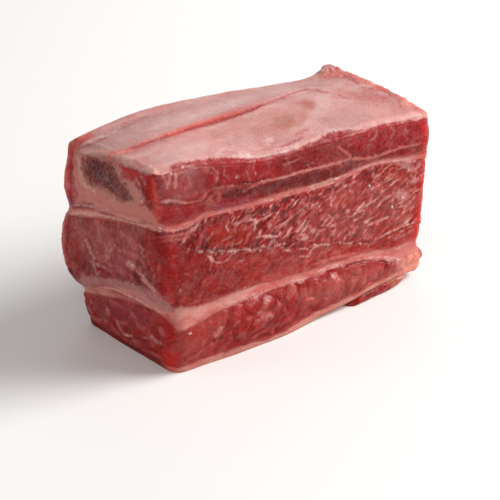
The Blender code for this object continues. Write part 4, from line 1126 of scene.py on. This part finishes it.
def paint_lower_muscle(surface):
    """The smaller muscle at the foot: soft lumps like scales, pale on top and dark under their lips: painted
    highlight and painted shade.
    """
    paint_lean(surface, 60, LEAN_DEEP, mix(LEAN, LEAN_WARM, 0.4), 0.2)
    warp = 1.8 * surface.noise(6, 61)
    x, y = (surface.x + warp) / LUMP_WIDTH, surface.y / LUMP_WIDTH
    z = surface.z - LUMP_SLOPE * surface.x + warp
    near, far = pebbles(x, y, z / LUMP_HEIGHT, 8)
    near_above, _ = pebbles(x, y, (z + LUMP_LIP) / LUMP_HEIGHT, 8)
    facing_up = near_above - near
    gap = far - near
    uneven = ease(surface.noise(7, 66), -0.7, 0.3)
    surface.relief += 1.0 * uneven * (ease(gap, 0.0, 0.5) - 0.6) * mix(0.9, 0.5, surface.at_end)
    # Painted highlight on the lumps' upper sides, and painted shade under their lips.
    surface.paint(LEAN_PALE, 0.55 * uneven * ease(facing_up, 0.06, 0.14) * ease(gap, 0.06, 0.24), 0.3)
    surface.paint(LEAN_DARK, 0.65 * uneven * (1 - ease(gap, 0.0, 0.16)) * ease(-facing_up, -0.1, 0.1))
    to_left = ease(surface.x, *PALE_FOOT_X) * surface.in_front
    surface.paint(mix(LEAN_WARM, LEAN_PALE, 0.25), 0.65 * to_left)
    # Pale pink painted highlights on some of the lumps' tops.
    tips = ease(surface.noise((3.4, 3.4, 2.8), 67, 1), 0.45, 0.85) * ease(facing_up, 0.0, 0.15)
    surface.paint(FAT_PINK, 0.25 * tips, 0.5)
    surface.paint(LEAN_PALE, 0.1 * ease(fibres(surface, 1.2, 3.6, 1.8, 62, 0.8, 1), 0.2, 0.9), 0.3)
    paint_wet_highlights(surface, 68, 0.15)
    paint_seam_edges(surface, 65)


def paint_strip(surface):
    """The thin muscle under the foot, with a film of fat on its nose."""
    paint_lean(surface, 140, LEAN_DARK, LEAN)
    surface.paint(LEAN_PALE, 0.4 * ease(surface.noise((3, 3, 2), 146, 3), 0.1, 0.8), 0.3)
    surface.relief += 0.25 * surface.noise((4, 4, 2.5), 148)
    paint_wet_highlights(surface, 147)


def paint_fat(surface, seed):
    """A seam of fat: waxy, pinker where it is thin, and pulled into fine sheets."""
    sheets = fibres(surface, 0.12, 5.0, 0.9, seed + 1, 0.5, 2)
    level = 0.56 + 0.3 * surface.noise((7, 7, 2.5), seed, 3) + 0.16 * sheets
    surface.colour = three_tones(level, FAT_RED, FAT_PINK, FAT)
    surface.fat[...] = 1.0
    surface.paint(FAT_RED, 0.25 * threads(fibres(surface, 0.1, 7.0, 1.6, seed + 4, 0.8), 0.84, 1.0), 0.9)
    surface.relief += 0.18 * surface.noise((5, 5, 2.2), seed + 2) + 0.04 * sheets
    thin = 1 - ease(surface.nearest_seam + 0.35 * surface.noise((3, 3, 1.5), seed + 3), 0.0, 0.8)
    surface.paint(LEAN_WARM, 0.5 * thin, 0.4)


def paint_foot_fat(surface):
    """The lowest fat: tan along the front, and painted in dark meat reds at the left end."""
    paint_fat(surface, 110)
    surface.paint(mix(FAT_TAN, FAT, 0.4), 0.45, 1.0)
    ragged = surface.to_top - 0.4 - 0.7 * surface.noise((5, 5, 1.6), 118, 3)
    surface.paint(LEAN, 0.85 * (1 - ease(ragged, -0.3, 0.3)), 0.1)
    surface.paint(LEAN_WARM, 0.25 * ease(surface.noise((9, 9, 3), 119), 0.0, 0.6), 0.6)
    away_from_front = ease(surface.y - DARK_END_Y + 2 * surface.noise(5, 116), -3, 3)
    dark_reds = three_tones(0.5 + 0.4 * surface.noise(2.0, 117, 3), LEAN_DARK, BLOOD, LEAN)
    surface.paint(dark_reds, surface.at_end * ease(surface.x, *DARK_END_X) * away_from_front, 0.2)


def paint_rib_layer(surface):
    """The layer of the bone: meat in front of it and behind it."""
    paint_lean(surface, 80, LEAN_DARK, mix(LEAN_DEEP, CRIMSON, 0.2))
    surface.paint(PURPLE_PALE, 0.3 * ease(surface.noise((6, 6, 5), 87, 3), 0.2, 0.9), 0.3)
    surface.paint(BLOOD, 0.75 * ease(-surface.noise((5, 5, 3), 88, 3), -0.1, 0.5))
    surface.paint(LEAN_PALE, 0.3 * ease(surface.noise((3.5, 3.5, 2.5), 90, 3), 0.25, 0.8), 0.3)
    # Hidden faces: a seam between the muscles, and the sawn bone at the far end.
    hidden = 1 - surface.shown
    height = surface.to_bottom / (surface.to_bottom + surface.to_top)
    seam = np.abs(height - HIDDEN_SEAM_HEIGHT - 0.12 * surface.noise((14, 14, 30), 83))
    surface.paint(FAT_PINK, hidden * 0.8 * (1 - ease(seam, 0.03, 0.07)), 0.9)
    start, end = BONE_SPAN
    across = (surface.t - start) / (end - start)
    inside = ease(np.minimum(across, 1 - across), -0.03, 0.03) * hidden
    inside = inside * ease(surface.normal[..., 0], 0.4, 0.7)
    surface.paint(BONE_PINK, inside, 0.4)
    off = np.hypot((across - CORE_MIDDLE[0]) / CORE_HALF[0], (height - CORE_MIDDLE[1]) / CORE_HALF[1])
    surface.paint(BONE_GREY, inside * (1 - ease(off, 1.1, 1.6)), 0.2)
    marrow = inside * (1 - ease(off + 0.2 * surface.noise(2.0, 84), 0.85, 1.1))
    surface.paint(MARROW, marrow, 0.0)
    surface.pores = np.maximum(surface.pores, marrow)
    paint_wet_highlights(surface, 89)
    paint_seam_edges(surface, 85)


def paint_porous(surface):
    """Pits and pale specks in the marrow."""
    near, far = pebbles(surface.x / PORE_SIZE, surface.y / PORE_SIZE, surface.z / PORE_SIZE, 4)
    uneven = surface.pores * ease(surface.noise(4, 86), -0.5, 0.4)
    surface.paint(BONE_PINK, uneven * 0.28 * (1 - ease(far - near, 0.0, 0.35)))
    surface.paint(MARROW_DARK, uneven * 0.7 * (1 - ease(near, 0.2, 0.6)))
    surface.relief -= 0.3 * surface.pores * (1 - ease(near, 0.15, 0.55))


def membrane_line(surface):
    """How far above the membrane's lower edge a point is seen, in pixels."""
    above = pixel_line(surface, MEMBRANE_EDGE) - surface.pixel_y
    return above + 1.6 * surface.noise(3.0, 95, 3) + 0.8 * surface.noise(0.9, 98)


def paint_membrane_edge(surface):
    """The membrane reaches a little way down from the top."""
    shown = ease(membrane_line(surface), -1.2, 1.2)
    hidden = 1 - ease(surface.to_top + 0.5 * surface.noise(3, 96), 0.3, 0.9)
    share = mix(hidden, shown, surface.shown)
    tone = mix(SKIN_PINK, FAT, (0.5 + 0.5 * surface.noise(3, 97))[..., None])
    # At the left end the band takes pale bone colour, lightened as painted light on the edge.
    tone = mix(tone, BONE_PALE, (surface.at_end * surface.shown)[..., None])
    surface.paint(tone, share, 0.8)


# ---------------------------------------------------------------- building the meshes


def around(ring_x, ring_y):
    """Outward directions of a closed ring, from the run between each point's neighbours."""
    run_x = np.roll(ring_x, -1, axis=-1) - np.roll(ring_x, 1, axis=-1)
    run_y = np.roll(ring_y, -1, axis=-1) - np.roll(ring_y, 1, axis=-1)
    size = np.hypot(run_x, run_y)
    return np.stack([run_y / size, -run_x / size, 0 * size], -1)


def wall_ring(span=(0.0, 1.0)):
    """Places (s, t) round the block between two shares of its length, with arcs for its upright edges.

    They start at the near left corner and run along the front.
    """
    radius = CORNER_RADIUS
    left, right = span[0] * LENGTH, span[1] * LENGTH
    places = []

    def straight(start, end, spacing):
        count = max(int(round(math.dist(start, end) / spacing)), 1)
        for k in range(count):
            places.append((mix(start[0], end[0], k / count), mix(start[1], end[1], k / count)))

    def arc(centre, start_angle):
        count = int(round(radius * math.pi / 2 / FINE))
        for k in range(count):
            angle = math.radians(start_angle) + math.pi / 2 * k / count
            places.append((centre[0] + radius * math.cos(angle), centre[1] + radius * math.sin(angle)))

    straight((left + radius, 0), (right - radius, 0), FINE)
    arc((right - radius, radius), -90)
    straight((right, radius), (right, DEPTH - radius), COARSE)
    arc((right - radius, DEPTH - radius), 0)
    straight((right - radius, DEPTH), (left + radius, DEPTH), COARSE)
    arc((left + radius, DEPTH - radius), 90)
    straight((left, DEPTH - radius), (left, radius), FINE)
    arc((left + radius, radius), 180)
    return np.array(places) / (LENGTH, DEPTH)


def in_turn(numbers, places):
    """Point numbers and their shares of the way round their middle, from 0 to 1, in order."""
    places = np.array(places)
    middle = (places.min(0) + places.max(0)) / 2
    angle = np.arctan2(places[:, 1] - middle[1], (places[:, 0] - middle[0]))
    share = (angle / (2 * math.pi)) % 1.0
    order = np.argsort(share, kind="stable")
    return np.array(numbers)[order], share[order]


def stitch(outer, outer_share, inner, inner_share):
    """Triangles between two closed loops of points."""
    faces = []
    i = j = 0
    while i < len(outer) or j < len(inner):
        next_outer = outer_share[i + 1] if i + 1 < len(outer) else 1.0
        next_inner = inner_share[j + 1] if j + 1 < len(inner) else 1.0
        here, there = outer[i % len(outer)], inner[j % len(inner)]
        if j >= len(inner) or (i < len(outer) and next_outer <= next_inner):
            faces.append((here, outer[(i + 1) % len(outer)], there))
            i += 1
        else:
            faces.append((here, inner[(j + 1) % len(inner)], there))
            j += 1
    return faces


def rim_of(grid):
    """The border of a grid array, once round."""
    return np.concatenate([grid[0, :-1], grid[:-1, -1], grid[-1, :0:-1], grid[:0:-1, 0]])


def quads_between(rows):
    """Faces of a grid of point numbers."""
    return np.stack([rows[:-1, :-1], rows[:-1, 1:], rows[1:, 1:], rows[1:, :-1]], -1).reshape(-1, 4).tolist()


def quads_round(rows):
    """Faces between closed rows of point numbers, each row above the one before."""
    return quads_between(np.hstack([rows, rows[:, :1]]))


class Shell:
    """A closed mesh in the making: points, faces, and the colour and fat of each point."""

    def __init__(self):
        self.points, self.faces = np.zeros((0, 3)), []
        self.colour, self.fat = np.zeros((0, 3)), np.zeros(0)

    def add_points(self, points, colour, fat):
        numbers = len(self.points) + np.arange(len(points))
        self.points = np.vstack([self.points, points])
        self.colour = np.vstack([self.colour, colour])
        self.fat = np.append(self.fat, fat)
        return numbers

    def add_surface(self, surface):
        """Adds a painted surface, moved along its normals by its relief."""
        points = np.stack([surface.x, surface.y, surface.z], -1) + surface.normal * surface.relief[..., None]
        colour = surface.colour.reshape(-1, 3)
        numbers = self.add_points(points.reshape(-1, 3), colour, surface.fat.reshape(-1))
        return numbers.reshape(surface.x.shape)

    def add_lid(self, ring_numbers, ring_places, height_at, upward):
        """Closes a ring of points with a coarse lid that the neighbouring layer hides."""
        inset = np.array([LID_INSET / LENGTH, LID_INSET / DEPTH])
        low, high = ring_places.min(0) + inset, ring_places.max(0) - inset
        lines_s = np.linspace(low[0], high[0], LID_CELLS[0] + 1)
        lines_t = np.linspace(low[1], high[1], LID_CELLS[1] + 1)
        s, t = np.meshgrid(lines_s, lines_t)
        z = height_at(s, t)
        x, y = plan(s, t, z, 0.0)
        points = np.stack([x, y, z], -1).reshape(-1, 3)
        colour = np.median(self.colour[ring_numbers], axis=0)
        fat = float(np.median(self.fat[ring_numbers]))
        numbers = self.add_points(points, np.tile(colour, (len(points), 1)), np.full(len(points), fat))
        grid = numbers.reshape(s.shape)
        rim_places = np.stack([rim_of(s), rim_of(t)], -1)
        bridge = stitch(*in_turn(ring_numbers, ring_places), *in_turn(rim_of(grid), rim_places))
        lid = quads_between(grid) + bridge
        self.faces += lid if upward else [face[::-1] for face in lid]

    def make_piece(self, name, material, nodes):
        """The mesh object, in metres, in place of its CAD nodes."""
        mesh = bpy.data.meshes.new(name)
        mesh.from_pydata((self.points * MM).tolist(), [], self.faces)
        mesh.update()
        mesh.shade_smooth()
        mesh.set_sharp_from_angle(angle=SHARP_ANGLE)
        paint = mesh.attributes.new("paint", "FLOAT_COLOR", "POINT")
        opaque = np.ones((len(self.points), 1))
        paint.data.foreach_set("color", np.hstack([self.colour, opaque]).astype(np.float32).ravel())
        fat = mesh.attributes.new("fat", "FLOAT", "POINT")
        fat.data.foreach_set("value", self.fat.astype(np.float32))
        mesh.materials.append(material)
        piece = bpy.data.objects.new(name, mesh)
        bpy.context.scene.collection.objects.link(piece)
        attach(piece, "root")
        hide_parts(*nodes)


def layer_piece(name, bottom, top, bulge, paint, material, slot, nodes, span=(0.0, 1.0)):
    """A closed layer: its painted wall and two coarse lids."""
    ring = wall_ring(span)
    s, t = ring[:, 0][None, :], ring[:, 1][None, :]
    low, high = bottom(s, t), top(s, t)
    rows = max(int(round(float(np.max(high - low)) / FINE)), 3)
    w = np.linspace(0, 1, rows + 1)[:, None]
    z = mix(low, high, w)
    s, t, w = (np.broadcast_to(v, z.shape) for v in (s, t, w))
    reach = bulge * (1 - (2 * w - 1) ** 2)
    if name == "rib_and_meat":
        reach = np.maximum(reach, SKIN_OVERHANG * ease(w, *OVERHANG_HEIGHTS))
    if name == "rib_seam":
        reach = mix(reach, RIB_SEAM_PROUD, ease(s, *RIB_SEAM_PROUD_S))
    x, y = plan(s, t, z, reach)
    surface = Surface(x, y, z, s, t, around(x, y), z - low, high - z)
    paint(surface)
    if slot != "fat":
        paint_glow(surface)
    surface.draw_all()
    paint_porous(surface)
    # The relief fades out at the seams, so that neighbours meet.
    surface.relief *= ease(surface.nearest_seam, 0.0, SEAM_FADE)
    shell = Shell()
    number = shell.add_surface(surface)
    shell.faces += quads_round(number)
    shell.add_lid(number[-1], ring, top, True)
    shell.add_lid(number[0], ring, bottom, False)
    shell.make_piece(name, material, nodes)


def paint_skin(surface):
    """The membrane: pinkish grey, finely mottled, and rippled like wet film."""
    level = 0.45 + 0.28 * surface.noise((12, 8, 8), 100, 3) + 0.14 * surface.noise((3, 2, 2), 101, 3)
    surface.colour = three_tones(level, SKIN_GREY, SKIN_PINK, SKIN_SHEEN)
    surface.fat[...] = 0.9
    front = ease(surface.y, *SPECKLED_SKIN_Y)
    grain = surface.noise(0.72, 102, 1)
    surface.paint(SKIN_SHEEN, 0.45 * ease(grain, 0.1, 0.7) * front)
    surface.paint(TAN, 0.35 * ease(-grain, 0.1, 0.7) * front)
    surface.paint(GLINT, 0.5 * ease(grain, 0.6, 0.85) * front * ease(surface.noise(9, 106), 0.0, 0.6))
    blush = ease(surface.noise((16, 10, 10), 103), 0.0, 0.8)
    surface.paint(FAT_RED, 0.3 * blush)
    surface.relief += 0.2 * surface.noise((9, 5, 9), 104) + 0.06 * surface.noise(1.4, 105)
    # Below its edge the red meat shows, and the fat at the far right corner is lumpy.
    meat = 0.5 + 0.4 * surface.noise(2.2, 107, 3) + 0.2 * grain
    bare = (1 - ease(membrane_line(surface), -1.2, 1.2)) * ease(surface.y, *BARE_MEAT_Y)
    bare = bare * ease(surface.pixel_x, *BARE_MEAT_PX)
    surface.paint(three_tones(meat, LEAN_DEEP, mix(LEAN, CRIMSON, 0.5), LEAN_PALE), bare, 0.2)
    lumps = knob_share(surface.s, surface.t) ** 0.4 + 0.7 * ease(surface.s, *LUMPY_SKIN_S)
    surface.relief += lumps * (0.7 * surface.noise(3.2, 108) + 0.35 * surface.noise(1.5, 109))


def rounded_places(s, t):
    """Places of a square grid, drawn in at its corners to the block's rounded upright edges."""
    u, v = (np.clip(1 - gap / CORNER_RADIUS, 0, 1) for gap in to_edges(s, t))
    pull_s = CORNER_RADIUS * u * (1 - np.sqrt(1 - v * v / 2)) / LENGTH
    pull_t = CORNER_RADIUS * v * (1 - np.sqrt(1 - u * u / 2)) / DEPTH
    return s - pull_s * np.sign(s - 0.5), t - pull_t * np.sign(t - 0.5)


def skin_piece(material):
    """The membrane over the top: a fine sheet with a rolled edge."""
    lines_s = np.linspace(0, 1, int(LENGTH / SKIN_SPACING) + 1)
    lines_t = np.linspace(0, 1, int(DEPTH / SKIN_SPACING) + 1)
    s, t = rounded_places(*np.meshgrid(lines_s, lines_t))
    z = skin_top(s, t)
    x, y = plan(s, t, z, SKIN_OVERHANG * 0.5)
    roll = 1 - np.sqrt(1 - np.clip(1 - np.minimum(*to_edges(s, t)) / EDGE_ROLL, 0, 1) ** 2)
    z = z - EDGE_ROLL_DROP * roll
    normal = np.zeros(x.shape + (3,))
    normal[..., 2] = 1.0
    sheet = Surface(x, y, z, s, t, normal, 0 * x + SKIN_THICKNESS, 0 * x)
    paint_skin(sheet)
    sheet.draw_all()
    shell = Shell()
    grid = shell.add_surface(sheet)
    shell.faces += quads_between(grid)

    rim = rim_of(grid)
    rim_points = shell.points[rim]
    rim_s, rim_t = rim_of(s), rim_of(t)
    outward = around(rim_points[:, 0], rim_points[:, 1])
    w = np.linspace(0, 1, SKIN_BAND_ROWS + 1)[1:, None]
    band_z = mix(rim_points[:, 2], skin_bottom(rim_s, rim_t), w)
    swell = SKIN_OVERHANG * mix(0.5, 1.0, np.sin(math.pi / 2 * w))
    band_x, band_y = plan(rim_s + 0 * band_z, rim_t + 0 * band_z, band_z, swell)
    band_s, band_t = (np.broadcast_to(v, band_x.shape) for v in (rim_s, rim_t))
    band = Surface(band_x, band_y, band_z, band_s, band_t, np.broadcast_to(outward, band_x.shape + (3,)),
                   SKIN_THICKNESS * (1 - w) + 0 * band_x, SKIN_THICKNESS * w + 0 * band_x)
    paint_rib_layer(band)
    paint_membrane_edge(band)
    band.draw_all()
    band.relief *= 0
    rows = np.vstack([rim, shell.add_surface(band)])
    shell.faces += [face[::-1] for face in quads_round(rows)]
    shell.add_lid(rows[-1], np.stack([rim_s, rim_t], -1), skin_bottom, False)
    shell.make_piece("membrane", material, ["top_skin"])


# ---------------------------------------------------------------- materials


class Nodes:
    """Adds nodes to a material and links them."""

    def __init__(self, name):
        self.material = bpy.data.materials.new(name)
        self.material.use_nodes = True
        self.tree = self.material.node_tree
        self.shader = self.tree.nodes["Principled BSDF"]

    def link(self, source, target):
        if isinstance(source, (int, float, tuple)):
            target.default_value = source
        else:
            self.tree.links.new(source, target)

    def attribute(self, name, output="Fac"):
        node = self.tree.nodes.new("ShaderNodeAttribute")
        node.attribute_name = name
        return node.outputs[output]

    def math(self, operation, a, b=0.0, c=0.0, clamp=False):
        node = self.tree.nodes.new("ShaderNodeMath")
        node.operation = operation
        node.use_clamp = clamp
        for value, socket in zip((a, b, c), node.inputs):
            self.link(value, socket)
        return node.outputs[0]

    def noise(self, scale, detail, turn=None, stretch=None):
        """Noise from 0 to 1 with about scale bumps per metre, turned and stretched."""
        node = self.tree.nodes.new("ShaderNodeTexNoise")
        node.inputs["Scale"].default_value = scale
        node.inputs["Detail"].default_value = detail
        place = self.tree.nodes.new("ShaderNodeTexCoord").outputs["Object"]
        if stretch:
            mapping = self.tree.nodes.new("ShaderNodeMapping")
            mapping.inputs["Rotation"].default_value = turn
            mapping.inputs["Scale"].default_value = stretch
            self.link(place, mapping.inputs["Vector"])
            place = mapping.outputs["Vector"]
        self.link(place, node.inputs["Vector"])
        return node.outputs["Fac"]

    def mix(self, share, a, b, blend="MIX"):
        node = self.tree.nodes.new("ShaderNodeMix")
        node.data_type = "RGBA"
        node.blend_type = blend
        for value, socket in ((share, "Factor"), (a, "A"), (b, "B")):
            self.link(value, node.inputs[socket])
        return node.outputs["Result"]

    def smooth(self, value, low, high, least=0.0, most=1.0):
        """Least below low and most above high."""
        node = self.tree.nodes.new("ShaderNodeMapRange")
        node.interpolation_type = "SMOOTHSTEP"
        self.link(value, node.inputs["Value"])
        for name, number in (("From Min", low), ("From Max", high), ("To Min", least), ("To Max", most)):
            node.inputs[name].default_value = number
        return node.outputs["Result"]


# The foods: how strong their grain is, their roughness and their wetness. What follows is the same for all.
FOODS = {"marbled_meat": (0.22, 0.42, 0.5), "lean_meat": (0.22, 0.42, 0.5), "fat": (0.25, 0.5, 0.3),
         "pale_skin": (0.3, 0.5, 0.3)}
RAW_FOOD = {"Coat Roughness": 0.14, "Specular IOR Level": 0.1, "Subsurface Weight": 0.25,
            "Subsurface Radius": (1.0, 0.28, 0.2), "Subsurface Scale": 0.0025}
# The grain, in bumps per metre: fibres with their turn and stretch, pores and patches of wet film.
FIBRE_SCALE = 1700
FIBRE_TURN = (0, -0.5, 0)
FIBRE_STRETCH = (0.55, 1.0, 1.0)
PORE_SCALE = 1300
FILM_SCALE = 240
GRAIN_LIGHT = (1.0, 0.55, 0.5, 1.0)
GRAIN_DEPTH = 0.0003
GRAIN_STRENGTH = 0.5


def food_material(name, grain, roughness, wetness):
    """Raw food: the painted colour with fine grain, a wet film, and light that sinks in a little."""
    nodes = Nodes(name)
    fibre = nodes.noise(FIBRE_SCALE, 2.0, FIBRE_TURN, FIBRE_STRETCH)
    pores = nodes.noise(PORE_SCALE, 3.0)
    broad = nodes.noise(FILM_SCALE, 2.0)
    paint = nodes.attribute("paint", "Color")
    deep = nodes.mix(1.0, paint, paint, "MULTIPLY")
    dark = nodes.mix(0.5, paint, deep)
    light = nodes.mix(0.1, paint, GRAIN_LIGHT)
    both = nodes.math("ADD", nodes.math("MULTIPLY", fibre, 0.5), nodes.math("MULTIPLY", pores, 0.5))
    grainy = nodes.mix(nodes.smooth(both, 0.35, 0.68), dark, light)
    strength = nodes.math("MULTIPLY_ADD", nodes.attribute("fat"), -0.45 * grain, grain)
    nodes.link(nodes.mix(strength, paint, grainy), nodes.shader.inputs["Base Color"])

    rough = nodes.math("MULTIPLY_ADD", nodes.math("SUBTRACT", pores, 0.5), 0.3, roughness)
    rough = nodes.math("MULTIPLY_ADD", nodes.attribute("fat"), 0.05, rough, clamp=True)
    nodes.link(rough, nodes.shader.inputs["Roughness"])
    film = nodes.math("MULTIPLY_ADD", pores, 0.6, broad)
    nodes.link(nodes.smooth(film, 0.72, 1.0, 0.0, wetness), nodes.shader.inputs["Coat Weight"])
    for socket, value in RAW_FOOD.items():
        nodes.shader.inputs[socket].default_value = value

    bump = nodes.tree.nodes.new("ShaderNodeBump")
    bump.inputs["Strength"].default_value = GRAIN_STRENGTH
    bump.inputs["Distance"].default_value = GRAIN_DEPTH
    nodes.link(nodes.math("MULTIPLY_ADD", fibre, 0.7, pores), bump.inputs["Height"])
    nodes.link(bump.outputs["Normal"], nodes.shader.inputs["Normal"])
    nodes.link(bump.outputs["Normal"], nodes.shader.inputs["Coat Normal"])
    return nodes.material


# ---------------------------------------------------------------- scene


# The studio, in metres: round lamps that face the middle of the block, with their places, widths and watts.
LAMP_TARGET = Vector((0, 0, 0.04))
LAMPS = {"key": ((1.0, -0.55, 0.85), 0.9, 26), "back": ((0.75, 0.9, 0.6), 0.8, 2),
         "sparkle": ((0.62, -0.85, 0.62), 0.12, 0.7), "fill": ((-0.9, -0.8, 0.7), 0.9, 4),
         "rim": ((-1.0, 0.6, 0.5), 0.6, 2.0)}
WORLD_STRENGTH = 0.3
FLOOR_SIZE = 6
FLOOR_COLOUR = (0.86, 0.84, 0.82, 1)
FLOOR_ROUGHNESS = 0.8
SENSOR_MM = 36
CLIP_START = 0.01


def build_floor():
    bpy.ops.mesh.primitive_plane_add(size=FLOOR_SIZE)
    floor = bpy.context.object
    floor.name = "floor"
    paint = bpy.data.materials.new("pale_floor")
    paint.use_nodes = True
    shader = paint.node_tree.nodes["Principled BSDF"]
    shader.inputs["Base Color"].default_value = FLOOR_COLOUR
    shader.inputs["Roughness"].default_value = FLOOR_ROUGHNESS
    floor.data.materials.append(paint)


def build_lights():
    world = bpy.data.worlds.new("studio")
    world.use_nodes = True
    background = world.node_tree.nodes["Background"]
    background.inputs["Color"].default_value = (1, 1, 1, 1)
    background.inputs["Strength"].default_value = WORLD_STRENGTH
    bpy.context.scene.world = world
    for name, (place, width, watts) in LAMPS.items():
        data = bpy.data.lights.new(name, "AREA")
        data.shape = "DISK"
        data.size = width
        data.energy = watts
        lamp = bpy.data.objects.new(name, data)
        lamp.location = place
        lamp.rotation_euler = (LAMP_TARGET - Vector(place)).to_track_quat("-Z", "Y").to_euler()
        bpy.context.scene.collection.objects.link(lamp)
    bpy.context.scene.view_settings.view_transform = "Standard"


def build_camera():
    eye, _, _, forward = view_axes()
    data = bpy.data.cameras.new("camera")
    data.sensor_width = SENSOR_MM
    data.lens = FOCAL_PX / FRAME_PX * SENSOR_MM
    data.clip_start = CLIP_START
    camera = bpy.data.objects.new("camera", data)
    camera.location = Vector(eye) * MM
    camera.rotation_euler = Vector(forward).to_track_quat("-Z", "Y").to_euler()
    bpy.context.scene.collection.objects.link(camera)
    bpy.context.scene.camera = camera


def strip_share(s):
    """How far along the strip a place is, from 0 to 1."""
    return (s - STRIP_SPAN[0]) / (STRIP_SPAN[1] - STRIP_SPAN[0])


def strip_top(s, t):
    """The strip fills the space under the foot, and thins towards its left edge."""
    share = strip_share(s)
    return (underside(s, t) - GAP) * mix(STRIP_TIP_THICKNESS, 1.0, ease(share, 0.0, STRIP_TIP_LENGTH))


def strip_bottom(s, t):
    """The strip rests on the floor, and its two ends round up from it, the right one more slowly."""
    share = strip_share(s)
    left, right = (np.clip(1 - gap / nose, 0, 1) for gap, nose in zip((share, 1 - share), STRIP_NOSES))
    off = np.maximum(left, right)
    return mix(*STRIP_NOSE_RISE, ease(share, *STRIP_MIDDLE)) * strip_top(s, t) * (1 - np.sqrt(1 - off**2))


def build_block():
    marbled, lean, fat, skin = (food_material(name, *look) for name, look in FOODS.items())
    layer_piece("foot_fat", underside, named("bottom_fat_top"), BULGES["bottom_fat"],
                paint_foot_fat, fat, "fat", ["bottom_fat"])
    layer_piece("foot_strip", strip_bottom, strip_top, BULGES["strip"], paint_strip, lean, "lean_meat",
                ["bottom_strip"], STRIP_SPAN)
    layer_piece("foot_meat", named("bottom_fat_top"), named("thick_fat_bottom"), BULGES["lower_muscle"],
                paint_lower_muscle, lean, "lean_meat", ["lower_muscle"])
    layer_piece("fat_seam", named("thick_fat_bottom"), named("thick_fat_top"), BULGES["thick_fat"],
                lambda surface: paint_fat(surface, 120), fat, "fat", ["thick_fat"])
    layer_piece("large_muscle", named("thick_fat_top"), named("rib_fat_bottom"), BULGES["main_muscle"],
                paint_main_muscle, marbled, "marbled_meat", ["main_muscle"])
    layer_piece("rib_seam", named("rib_fat_bottom"), named("rib_fat_top"), BULGES["rib_fat"],
                lambda surface: paint_fat(surface, 130), fat, "fat", ["rib_fat"])
    layer_piece("rib_and_meat", named("rib_fat_top"), skin_bottom, BULGES["rib_layer"],
                paint_rib_layer, lean, "lean_meat",
                ["rib_bone", "bone_core", "rib_meat_lower", "rib_meat_seam", "rib_meat_upper",
                 "rib_meat_back"])
    skin_piece(skin)


def main():
    build_camera()
    build_floor()
    build_lights()
    build_block()


main()
